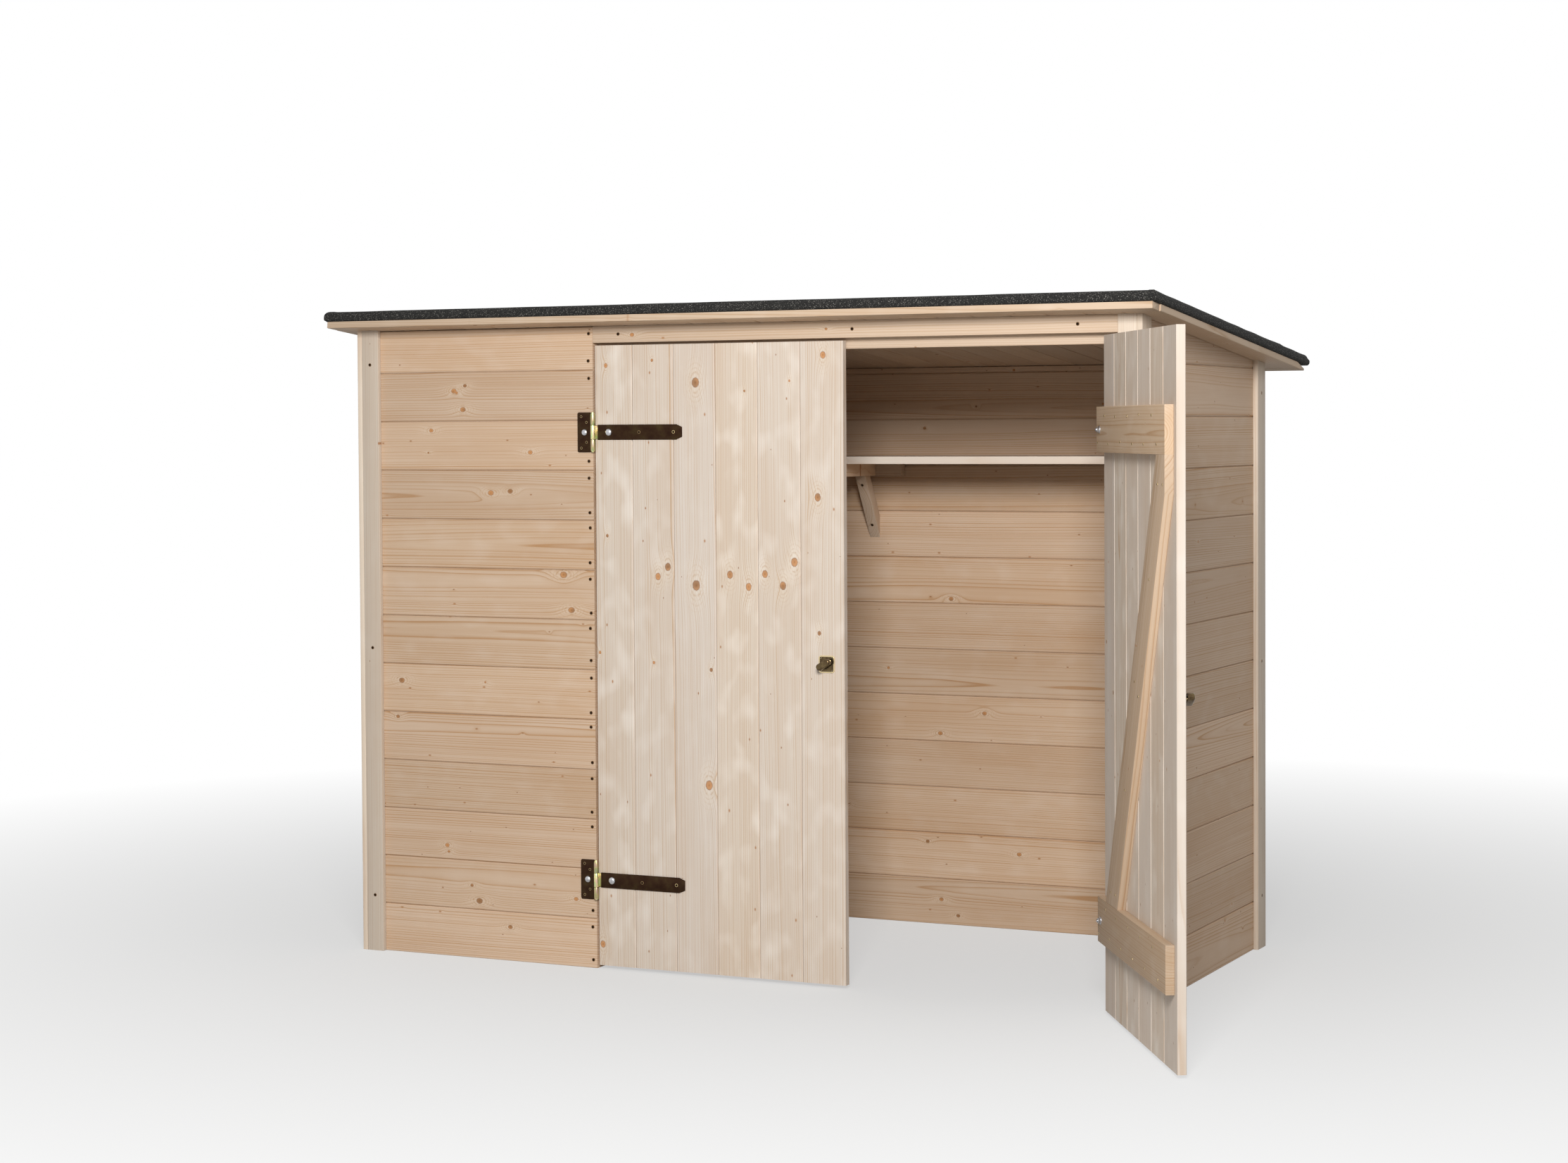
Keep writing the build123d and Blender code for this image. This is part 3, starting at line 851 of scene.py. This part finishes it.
def roof_boards():
    """Matched boards down the slope from the front cross board to the rear one, seen from below."""
    lo, hi = corners("roof_deck")
    start, end = roof_reach("roof_deck")
    width = (hi[0] - lo[0]) / ROOF_BOARDS
    thickness = roof_rise("roof_deck")[1]
    origin = np.array((0.0, FRONT, CREST)) + DOWN_ROOF * start
    return joined([board(origin + X * (lo[0] + width * (n + 0.5)), DOWN_ROOF, UNDER_ROOF, width, thickness,
                         end - start, tongue=n < ROOF_BOARDS - 1, groove=n > 0) for n in range(ROOF_BOARDS)])


def leaf_edges():
    """Where a leaf's boards meet, from its hinge edge."""
    return np.append(0.0, np.linspace(LEAF_FIRST, LEAF_HI[0] - LEAF_LO[0], LEAF_BOARDS))


def leaf_boards(knots=()):
    """Upright matched boards of the left leaf, with knots at (x, z)."""
    edges = leaf_edges()
    height = LEAF_HI[2] - LEAF_LO[2]
    parts = []
    for number, (low, high) in enumerate(zip(edges, edges[1:])):
        middle = LEAF_LO[0] + (low + high) / 2
        chosen = [(LEAF_HI[2] - height / 2 - z, x - middle, r) for x, z, r in knots
                  if low < x - LEAF_LO[0] < high]
        origin = np.array((middle, LEAF_LO[1] + rng.uniform(0.0, SEASONING), LEAF_HI[2]))
        parts.append(board(origin, -Z, -Y, high - low, LEAF_HI[1] - LEAF_LO[1], height, LEAF_VEE,
                           number < LEAF_BOARDS - 1, number > 0, knots=chosen, flat=0.15, knotty=0.9))
    return joined(parts)


def brace_ends():
    """Middles of the left leaf's brace at its foot and its head, as (z, x)."""
    outline = cad_outline("door_left_brace", 1)
    middle = outline[:, 0].mean()
    return outline[outline[:, 0] < middle].mean(0), outline[outline[:, 0] > middle].mean(0)


def leaf_timbers():
    """The left leaf's ledges and brace."""
    foot, top = brace_ends()
    lean = np.array((top[1] - foot[1], 0.0, top[0] - foot[0]))
    return {"ledge_lower": timber("door_left_ledge_lower", 1, X, Y),
            "ledge_upper": timber("door_left_ledge_upper", 1, X, Y),
            "brace": timber("door_left_brace", 1, lean / np.linalg.norm(lean), Y)}


# Fixings, as rings of (radius, height, lobes, hexagon, recess), sizes in shares of the head's radius; recess
# is the share of painted shade in a ring's hollow

SCREW_HEAD = ((0.30, 0.03, 0.16, 0, 1), (0.60, 0.04, 0.16, 0, 1), (0.64, 0.14, 0.12, 0, 0.6),
              (0.77, 0.15, 0, 0, 0), (0.93, 0.11, 0, 0, 0), (1.0, 0.0, 0, 0, 0), (1.0, -0.1, 0, 0, 0))
DOME_HEAD = ((0.12, 0.56, 0, 0, 0), (0.40, 0.53, 0, 0, 0), (0.68, 0.43, 0, 0, 0), (0.88, 0.27, 0, 0, 0),
             (1.0, 0.06, 0, 0, 0), (1.0, -0.1, 0, 0, 0))
NUT_HEAD = ((0.20, 1.05, 0, 0, 0), (0.36, 0.98, 0, 0, 0), (0.38, 0.72, 0, 0, 0.5), (0.62, 0.74, 0, 0.7, 0),
            (0.74, 0.66, 0, 1, 0), (0.76, 0.14, 0, 1, 0), (0.98, 0.14, 0, 0, 0), (1.0, 0.0, 0, 0, 0),
            (1.0, -0.1, 0, 0, 0))


def head(rings, place, out, radius, plating):
    """A screw head, bolt head or nut, standing on a surface.

    The point of a ring at angle q lies at radius r (1 + lobes cos 6q), pulled in to a hexagon by
    cos 30 / cos (q mod 60 - 30) as far as the ring is a hexagon.
    """
    r, h, lobes, hexagon, recess = (np.array(rings).T)[..., None]
    q = np.arange(HEAD_SEGMENTS) * 2 * np.pi / HEAD_SEGMENTS
    flat = np.cos(np.pi / 6) / np.cos(q % (np.pi / 3) - np.pi / 6)
    reach = radius * r * (1 + lobes * np.cos(6 * q)) * (1 + hexagon * (flat - 1))
    turn = q + rng.uniform(0, np.pi / 3)
    side = Z if abs(out[2]) < 0.5 else X
    side = side - out * (side @ out)
    side /= np.linalg.norm(side)
    other = np.cross(out, side)
    co = (place + reach[..., None] * (np.cos(turn)[:, None] * side + np.sin(turn)[:, None] * other)
          + radius * h[..., None] * out)
    count = len(rings) * HEAD_SEGMENTS
    # Each ring carries its share of painted shade for the hollows of the head
    return part_of(stacked_rings(list(co)), recess=np.repeat(recess[:, 0], HEAD_SEGMENTS),
                   plating=np.full(count, plating))


def screws(places, out, radius=SCREW, plating=TIMBER_PLATING):
    """Screw heads at several places on one surface."""
    return [head(SCREW_HEAD, np.array(place), out, radius, plating) for place in places]


def trim_screws(node, out):
    """Three screws up the middle of a corner trim, on the face that looks out."""
    lo, hi = corners(node)
    face = np.where(out > 0, hi, lo)
    x, y, _ = np.where(out != 0, face, (lo + hi) / 2)
    return screws([(x, y, hi[2] * share) for share in TRIM_SCREWS], out)


def hinge_heights():
    """Middles of the two hinges."""
    lo, hi = corners("hinge_plates_left")
    return lo[2] + PLATE_HEIGHT / 2, hi[2] - PLATE_HEIGHT / 2


def panel_screws():
    """Two screws a board up the panel's free end, apart from those under the hinge plates."""
    edges = np.append(0.0, np.arange(FIRST_COURSE, CREST, COVER))
    ends = np.append(edges[1:], CREST)
    heights = np.concatenate([edges + SCREW_INSET, ends - SCREW_INSET])
    from_roof, from_hinge = PANEL_CLEAR
    clear = [z for z in heights
             if z < CREST - from_roof and min(abs(z - middle) for middle in hinge_heights()) > from_hinge]
    x = PANEL_HI[0] - PANEL_INSET
    return screws([(x + rng.normal(0, BY_EYE[0]), FRONT, z + rng.normal(0, BY_EYE[1])) for z in clear], -Y)


def strut_screws():
    """Two screws down the shelf strut's sloping face."""
    lo, hi = corners("shelf_strut")
    outline = cad_outline("shelf_strut", 0)
    top = outline[np.argmin(outline[:, 0])]
    foot = outline[np.argmin(outline[:, 1])]
    edge = foot - top
    out = np.array((0.0, edge[1], -edge[0])) / np.linalg.norm(edge)
    return screws([((lo[0] + hi[0]) / 2, *(top + edge * share)) for share in STRUT_SCREWS], out)


def frame_fixings():
    """Screws of the fixed frame: on the panel, the trims, the lintel and the shelf strut."""
    found = panel_screws() + strut_screws() + trim_screws("trim_front_left", -Y)
    for end in ("left", "right"):
        found += trim_screws("trim_back_" + end, Y)
        for place in ("front", "rear"):
            found += trim_screws("trim_side_%s_%s" % (end, place), X if end == "right" else -X)
    lo, hi = corners("lintel_beam")
    return found + screws([(lo[0] + (hi[0] - lo[0]) * share, lo[1], (lo[2] + hi[2]) / 2)
                           for share in LINTEL_SCREWS], -Y)


def plate_fixings(node, side):
    """Four screws and a dome bolt on each jamb plate.

    Side is 1 where the pin lies on the plate's high side in X, and -1 where it lies on the low side.
    """
    lo, hi = corners(node)
    centre_x = lo[0] + PLATE_WIDTH / 2 if side > 0 else hi[0] - PLATE_WIDTH / 2
    found = []
    for middle in hinge_heights():
        centre = np.array((centre_x, FRONT - HINGE_METAL, middle))
        for aside, up in PLATE_SCREWS:
            pair = [centre + (side * aside, 0, z) for z in (-up, up)]
            found += screws(pair, -Y, PLATE_SCREW, PLATE_PLATING)
        found.append(head(DOME_HEAD, centre, -Y, PLATE_BOLT, BOLT_PLATING))
    return found


def strap_fixings(z, face, inner):
    """A bolt with its nut and two screws through the left leaf's strap at a height."""
    found = [head(DOME_HEAD, np.array((PIN_LEFT[0] + STRAP_BOLT, face, z)), -Y, BOLT, BOLT_PLATING)]
    for along, plating in STRAP_SCREWS:
        found += screws([(PIN_LEFT[0] + along, face, z)], -Y, SCREW, plating)
    return found + [head(NUT_HEAD, np.array((PIN_LEFT[0] + STRAP_BOLT, inner, z)), Y, BOLT, BOLT_PLATING)]


def ledge_fixings(z, inner):
    """Two screws a board along the left leaf's ledge at a height, set by eye."""
    edges = LEAF_LO[0] + leaf_edges()
    aside, up = LEDGE_SCREWS
    places = [(middle + aside * side, inner, z + up * side) for middle in (edges[1:] + edges[:-1]) / 2
              for side in (-1, 1) if middle + aside * side < LEAF_HI[0] - LEDGE_CLEAR]
    return screws([np.array(place) + rng.normal(0, BY_EYE[1], 3) * (1, 0, 1) for place in places], Y,
                  LEDGE_SCREW, LEDGE_PLATING)


def leaf_fixings():
    """The left leaf's fixings: on its straps and knob, and on its ledges and brace."""
    inner = corners("door_left_ledge_lower")[1][1]
    found = []
    for z in hinge_heights():
        found += strap_fixings(z, LEAF_LO[1] - HINGE_METAL, inner)
        found += ledge_fixings(z, inner)
    lo, hi = corners("door_left_turn_knob")
    middle = (lo + hi) / 2
    corner = (-ROSETTE_SCREW, ROSETTE_SCREW)
    found += screws([(middle[0] + x, LEAF_LO[1] - ROSETTE, middle[2] + z) for x in corner for z in corner],
                    -Y, KNOB_SCREW, KNOB_PLATING)
    foot, top = brace_ends()
    for share, aside in BRACE_SCREWS:
        z, x = foot + share * (top - foot)
        found += screws([(x + aside, inner, z)], Y, LEDGE_SCREW, LEDGE_PLATING)
    return found


def pressed(name, node, body, material):
    """Shows a hinge part's own form with its sharp edges rolled over."""
    mesh = frame["nodes"][node].data.copy()
    mesh.name = name
    work = bmesh.new()
    work.from_mesh(mesh)
    bmesh.ops.remove_doubles(work, verts=work.verts, dist=2e-6)
    bmesh.ops.dissolve_limit(work, angle_limit=np.radians(1.0), verts=work.verts, edges=work.edges)
    bmesh.ops.recalc_face_normals(work, faces=work.faces)
    sharp = [edge for edge in work.edges
             if len(edge.link_faces) == 2 and edge.calc_face_angle() > np.radians(40)]
    bmesh.ops.bevel(work, geom=sharp, offset=HINGE_EDGE, segments=2, profile=0.5, affect="EDGES",
                    clamp_overlap=True)
    work.to_mesh(mesh)
    work.free()
    smoothed(mesh, 45)
    shown(name, mesh, body, material, [node])


# Roofing felt

def on_roof(across, down, up):
    """Points on the roof from places across it, down its slope and up from the ceiling plane."""
    across, down, up = (values[..., None] for values in np.broadcast_arrays(across, down, up))
    return (0.0, FRONT, CREST) + across * X + down * DOWN_ROOF - up * UNDER_ROOF


def ripple(across, down):
    """Slight waves in the felt: a sum of sines a sin(k . p + phase) with seeded directions and lengths."""
    low, high = (-60, -60, 0, 0.2), (60, 60, 6.3, 1.0)
    waves = np.random.default_rng(5).uniform(low, high, (RIPPLES, 4))
    return RIPPLE * sum(size * np.sin(kx * across + ky * down + phase) for kx, ky, phase, size in waves)


def lap(down):
    """Height of the felt's upper sheet where it runs over the lower one: rising to its edge, then nothing."""
    rise = np.clip((down - LAP_PLACE + LAP_RISE) / LAP_RISE, 0, 1)
    return np.where(down < LAP_PLACE, LAP_LIFT * rise, 0.0)


def kerb_section(base, field, top):
    """Half of a kerb's outline as (in from its outer face, up), from the field over the crown and under.

    A slope at 45 degrees with soft bends, a flat crown, a quarter circle of KERB_ROUND at the top outside
    and one of TUCK at the bottom. A bend is a parabola.
    """
    q = np.linspace(0, np.pi / 2, 9)
    crown = KERB_ROUND + KERB_CROWN
    foot = crown + top - field
    bend = np.linspace(0, 1, 7)
    low = np.column_stack([foot + FOOT_BEND - (FOOT_BEND + KERB_BEND) * bend, field + KERB_BEND * bend ** 2])
    high = np.column_stack([crown + KERB_BEND - 2 * KERB_BEND * bend, top - KERB_BEND * (1 - bend) ** 2])
    outside = np.column_stack([KERB_ROUND * (1 - np.sin(q)), top - KERB_ROUND * (1 - np.cos(q))])
    under = np.column_stack([TUCK * (1 - np.cos(q)), base + TUCK * (1 - np.sin(q))])
    return np.concatenate([low, high, outside, under, [(foot + FOOT_BEND, base)]])


def kerb_skin(section, half, start, end, base, top):
    """The felt round the kerb, from the left eaves over the front to the right eaves.

    Each ring is the kerb's outline on a line across the kerb. On the sides the line runs straight across,
    and it leans over to 45 degrees at the front corners, where the sides' and the front's outlines meet
    in a mitre. At the eaves the crown comes down in a quarter circle of KERB_ROUND.
    """
    d, t = section.T
    places = [(d - half, end + (start + d - end) * u) for u in np.linspace(0, 1, SIDE_STEPS)]
    places += [((half - d) * v, start + d) for v in np.linspace(-1, 1, FRONT_STEPS)[1:-1]]
    places += [(half - d, end + (start + d - end) * u) for u in np.linspace(1, 0, SIDE_STEPS)]
    loose = (d < d.max() - FOLD_MARGIN) & (t > base + FOLD_MARGIN)
    rings = []
    for across, down in places:
        past = np.clip(down - end + KERB_ROUND, 0, None)
        cap = top - KERB_ROUND + np.sqrt(np.clip(KERB_ROUND ** 2 - past ** 2, 0, None))
        height = t + loose * (lap(down) * (d > LAP_INSET) + ripple(across, down))
        rings.append(on_roof(across, down, np.minimum(height, cap)))
    return part_of(flipped(stacked_rings(rings)))


def field_skin(half, inner, start, end, base, field):
    """The sheet between the kerbs, with the lap, and with waves that die out towards the kerbs' feet."""
    reach = half - inner
    xs = np.linspace(-reach, reach, FIELD_STEPS[0])
    downs = np.linspace(start + inner, end, FIELD_STEPS[1])
    rings = []
    for down in np.unique(np.append(downs, [LAP_PLACE - LAP_STEP, LAP_PLACE + LAP_STEP])):
        edge = np.minimum(1.0, (reach - np.abs(xs)) / RIPPLE_FADE)
        edge *= min(1.0, (down - start - inner) / RIPPLE_FADE)
        heights = field + lap(down) * (np.abs(xs) < reach) + edge * ripple(xs, down)
        rings.append(on_roof(np.append(xs, xs[::-1]), down, np.append(heights, np.full(len(xs), base))))
    return part_of(flipped(stacked_rings(rings)))


def corner_flap(side, half, start, section):
    """The folded flap over a front corner: a thin skin over the front, from the mitre to a slanting edge."""
    points = section[FLAP_POINTS]
    d = points[:, 0]
    tangent = np.gradient(section, axis=0)[FLAP_POINTS]
    normal = np.column_stack([tangent[:, 1], -tangent[:, 0]]) / np.linalg.norm(tangent, axis=1, keepdims=True)
    corner = half - d
    edge = corner - FLAP_WIDTH[0] - FLAP_WIDTH[1] * np.linspace(0, 1, len(d))
    outer = points + (start, 0) + FLAP_SKIN[0] * normal
    inner = points + (start, 0) - FLAP_SKIN[1] * normal
    rings = []
    for k in range(len(d)):
        ends = side * np.array((corner[k], edge[k]))
        rings.append(np.concatenate([on_roof(ends, *outer[k]), on_roof(ends[::-1], *inner[k])]))
    shape = stacked_rings(rings)
    return part_of(shape if side < 0 else flipped(shape))


def dressed_felt():
    """Roofing felt: the skin round the kerb, the sheet between the kerbs and the two corner flaps."""
    sheet, kerb = roof_rise("roof_felt"), roof_rise("roof_kerb")
    base = min(sheet[0], kerb[0])
    top = max(sheet[1], kerb[1]) - FELT_EASE
    field = sheet[1] - FELT_EASE
    half = vertices("roof_kerb")[:, 0].max() - FELT_EASE
    start, end = roof_reach("roof_kerb")
    start += FELT_EASE
    section = kerb_section(base, field, top)
    return joined([kerb_skin(section, half, start, end, base, top),
                   field_skin(half, section[:, 0].max(), start, end, base, field),
                   corner_flap(-1, half, start, section), corner_flap(1, half, start, section)])


# Turn knobs

def square_rings(size, corner, levels, turn=0.0):
    """Rings of a rounded rectangle at several levels, each (inset, height), turned about the middle."""
    half = np.array(size) / 2
    outline = rounded(half * [(-1, -1), (1, -1), (1, 1), (-1, 1)], corner, 6)
    c, n = np.cos(turn), np.sin(turn)
    rings = []
    for amount, height in levels:
        ring = inset(outline, amount) @ np.array([(c, n), (-n, c)])
        rings.append(np.column_stack([ring, np.full(len(ring), height)]))
    return rings


def neck_rings():
    """Rings of the round neck, waisted between the rosette and the grip."""
    top = ROSETTE + NECK_LENGTH
    circle = np.linspace(0, 2 * np.pi, 33)[:-1]
    return [np.column_stack([r * np.cos(circle), r * np.sin(circle), np.full(len(circle), h)])
            for r, h in ((0.0070, top + 0.001), (0.0062, top - 0.002), (0.0062, ROSETTE + 0.004),
                         (0.0078, ROSETTE + 0.0015), (0.0085, ROSETTE - 0.0002))]


def knob():
    """The left leaf's turn knob: a zinc base, a bronzed rosette, a neck and a turned grip with soft edges.

    Each is a stack of outlines in the door's plane.
    """
    centre = np.array((LEAF_HI[0] - KNOB_INSET, LEAF_LO[1], KNOB_LIFT))
    square = (ROSETTE_SIZE, ROSETTE_SIZE)
    length, width, depth = GRIP_SIZE
    crown = ROSETTE + NECK_LENGTH + depth
    base = rim(BASE, BASE / 2, steps=KNOB_STEPS) + [(0.0, 0.0)]
    plate = rim(ROSETTE, ROSETTE - BASE, steps=KNOB_STEPS, inward=ROSETTE_INSET)
    plate.append((ROSETTE_INSET, BASE - SINK))
    grip = rim(crown, GRIP_EDGE[0], steps=KNOB_STEPS)
    grip += rim(crown - depth, GRIP_EDGE[1], steps=KNOB_STEPS)[::-1]
    stacks = [(square_rings(square, ROSETTE_CORNER, base), 1.0),
              (square_rings(square, ROSETTE_CORNER, plate), 0.0),
              (neck_rings(), 0.0),
              (square_rings((length, width), width / 2 - GRIP_END, grip, np.radians(GRIP_TURN)), 0.0)]
    parts = []
    for rings, zinc in stacks:
        points, faces = stacked_rings(rings)
        a, b, h = points.T[..., None]
        parts.append(part_of((centre + a * X + b * Z - h * Y, faces), zinc=np.full(len(points), zinc)))
    return joined(parts)


# The fixed frame

def fixed(name, part, slot, material, *nodes, smooth=30):
    """Shows a part as a piece of the fixed frame."""
    piece(name, part, "shelter", material, nodes, smooth)


def wall(node, *place, **knots):
    """Shows a boarded wall in place of its CAD node."""
    fixed(node + "_boards", boarded_wall(*place, **knots), "wall_wood", WALL_FINISH, node, smooth=None)


def planed(nodes, k, along, out, round_section=False, slot="frame_wood", material=FRAME_FINISH):
    """Shows planed timbers of the fixed frame in place of their CAD nodes."""
    for node in nodes:
        fixed(node + "_planed", timber(node, k, along, out, round_section), slot, material, node)


def cleats(node, k, along, first_end, second_start):
    """Shows two shelf cleats: from the node's lowest corner to a point, and from another to its highest."""
    lo, hi = corners(node)
    pair = [batten(lo, first_end, k, along, Z), batten(second_start, hi, k, along, Z)]
    fixed(node + "_planed", joined(pair), "frame_wood", FRAME_FINISH, node)


wall("front_panel", PANEL_LO * (1, 1, 0), X, -Y, PANEL_HI[0] - PANEL_LO[0], ceiling(PANEL_HI[1]),
     knots=[(x - PANEL_LO[0], z, r) for x, z, r in PANEL_KNOTS])
wall("wall_left", np.array((LEFT_LO[0], LEFT_HI[1], 0.0)), -Y, -X, LEFT_HI[1] - LEFT_LO[1],
     ceiling(LEFT_HI[1]), CREST)
wall("wall_right", np.array((RIGHT_HI[0], RIGHT_LO[1], 0.0)), Y, X, RIGHT_HI[1] - RIGHT_LO[1],
     ceiling(RIGHT_LO[1]), ceiling(RIGHT_HI[1]))
wall("wall_back", BACK_LO * (1, 1, 0), X, -Y, BACK_HI[0] - BACK_LO[0], ceiling(BACK_HI[1]))
fixed("roof_boards", roof_boards(), "frame_wood", FRAME_FINISH, "roof_deck", smooth=None)

planed(("trim_front_left", "trim_back_left", "trim_back_right", "jamb_board_right"), 0, Z, -Y,
       slot="trim_wood", material=TRIM_FINISH)
planed(("trim_side_left_front", "trim_side_left_rear", "trim_side_right_front", "trim_side_right_rear"),
       0, Z, X, slot="trim_wood", material=TRIM_FINISH)
planed(("post_front_left", "post_jamb_left", "post_jamb_right", "post_back_left", "post_back_right"), 0, Z, Y)
planed(("lintel_beam", "door_stop"), 0, X, -Y, True)
planed(("roof_edge_front", "roof_edge_rear"), 0, X, UNDER_ROOF, True)
planed(("shelf_board",), 2, X, Z, material=PALE_FINISH)
planed(("shelf_arm",), 1, Y, Z, True)
planed(("shelf_strut",), 0, Z, X)
arm_lo, arm_hi = corners("shelf_arm")
arm_width = arm_hi[0] - arm_lo[0]
back_lo, back_hi = corners("shelf_cleats_back")
cleats("shelf_cleats_back", 0, X, (arm_lo[0], back_hi[1], back_hi[2]), (arm_hi[0], back_lo[1], back_lo[2]))
side_lo, side_hi = corners("shelf_cleats_side")
cleats("shelf_cleats_side", 1, Y, (side_lo[0] + arm_width, side_hi[1], side_hi[2]),
       (side_hi[0] - arm_width, side_lo[1], side_lo[2]))
fixed("roof_felt_dressed", dressed_felt(), "roofing_felt", felt_finish(), "roof_felt", "roof_kerb", smooth=50)


# The leaves

def on_leaf(side, name, part, material, nodes=(), smooth=35):
    """Shows a part of the left leaf there, or as its mirror image on the right leaf."""
    if side == "right":
        part = for_right_leaf(part)
    leaf = "door_" + side
    replaced = ["%s_%s" % (leaf, node) for node in nodes]
    piece("%s_%s" % (leaf, name), part, leaf, material, replaced, smooth)


leaf_screws = joined(leaf_fixings())
SCREW_FINISH = fixings_finish()
KNOB_FINISH = knob_finish()
SIDES = ("left", "right")
for side, knots in zip(SIDES, (LEAF_KNOTS, ())):
    on_leaf(side, "boards", leaf_boards(knots), DOOR_FINISH, ["leaf"], None)
for side in SIDES:
    for name, part in leaf_timbers().items():
        on_leaf(side, name + "_planed", part, LEDGE_FINISH, [name], 30)
for side in SIDES:
    on_leaf(side, "knob_cast", knob(), KNOB_FINISH, ["turn_knob"])
for side in SIDES:
    on_leaf(side, "fixings", leaf_screws, SCREW_FINISH)
frame_screws = frame_fixings()
frame_screws += plate_fixings("hinge_plates_left", 1) + plate_fixings("hinge_plates_right", -1)
fixed("shelter_fixings", joined(frame_screws), "zinc_brass", SCREW_FINISH, smooth=35)

for side, pin in zip(SIDES, (PIN_LEFT, PIN_RIGHT)):
    pressed("hinge_plates_%s_pressed" % side, "hinge_plates_" + side, "shelter",
            hinge_finish("hinge plate steel " + side, pin, BARREL))
    pressed("door_%s_straps_pressed" % side, "door_%s_hinge_straps" % side, "door_" + side,
            hinge_finish("hinge strap steel " + side, pin, STRAP_NECK))


# Stage

def camera():
    """The camera that sees the shelter as the photograph does, from the right and a little below the roof."""
    ahead = np.array((-np.sin(YAW) * np.cos(PITCH), np.cos(YAW) * np.cos(PITCH), -np.sin(PITCH)))
    level = np.array((np.cos(YAW), np.sin(YAW), 0.0))
    plumb = np.cross(ahead, level)
    right = np.cos(ROLL) * level + np.sin(ROLL) * plumb
    down = np.cos(ROLL) * plumb - np.sin(ROLL) * level
    data = bpy.data.cameras.new("view")
    data.sensor_width = 36.0
    data.lens = LENS
    data.shift_y = SHIFT
    made = bpy.data.objects.new("view", data)
    pose = Matrix.Identity(4)
    for row, place in enumerate(CAMERA_PLACE):
        pose[row] = (right[row], -down[row], -ahead[row], place)
    made.matrix_world = pose
    bpy.context.scene.collection.objects.link(made)
    bpy.context.scene.camera = made


def key_lamp():
    """One square area lamp before the shelter's right front, aimed at its middle."""
    data = bpy.data.lights.new("key", "AREA")
    data.size = KEY_SIZE
    data.energy = KEY_POWER
    made = bpy.data.objects.new("key", data)
    made.location = KEY_PLACE
    made.rotation_euler = (Vector(KEY_AIM) - Vector(KEY_PLACE)).to_track_quat("-Z", "Y").to_euler()
    bpy.context.scene.collection.objects.link(made)


def seen_directly(g):
    """1 where a surface is seen by the camera or in a reflection, and 0 where it only lights others."""
    rays = g.add("ShaderNodeLightPath").outputs
    mirrored = g.math("MAXIMUM", rays["Is Glossy Ray"], rays["Is Transmission Ray"])
    return g.math("MAXIMUM", rays["Is Camera Ray"], mirrored)


def sky():
    """White behind the object and in its reflections, and a softer white as light."""
    world = bpy.data.worlds.new("studio")
    world.use_nodes = True
    bpy.context.scene.world = world
    g = Graph(world.node_tree)
    background = world.node_tree.nodes["Background"]
    background.inputs["Color"].default_value = (1.0, 1.0, 1.0, 1.0)
    g.set(background.inputs["Strength"], g.times_plus(seen_directly(g), 1.0 - SKY_LIGHT, SKY_LIGHT))


def floor():
    """A wide pale floor at ground level, which fades to white away from the shelter."""
    mesh = bpy.data.meshes.new("floor")
    mesh.from_pydata([(FLOOR * x, FLOOR * y, 0) for x, y in ((-1, -1), (1, -1), (1, 1), (-1, 1))], [],
                     [(0, 1, 2, 3)])
    made, g, shader = surface("pale floor", 0.9, specular=0.1)
    shader.inputs["Base Color"].default_value = (*FLOOR_TONE, 1.0)
    x, y, _ = g.parts(place_from(g))
    far = g.ramp(g.times(g.length(x, y), 0.1), (0.10, 0.52), (0.38, 1.0))
    white = g.add("ShaderNodeEmission")
    both = g.filled(g.add("ShaderNodeMixShader"), g.times(far, seen_directly(g)), shader.outputs[0],
                    white.outputs[0])
    g.set(made.node_tree.nodes["Material Output"].inputs["Surface"], both[0])
    mesh.materials.append(made)
    ground = bpy.data.objects.new("floor", mesh)
    bpy.context.scene.collection.objects.link(ground)


camera()
key_lamp()
sky()
floor()
bpy.context.scene.view_settings.view_transform = "Standard"
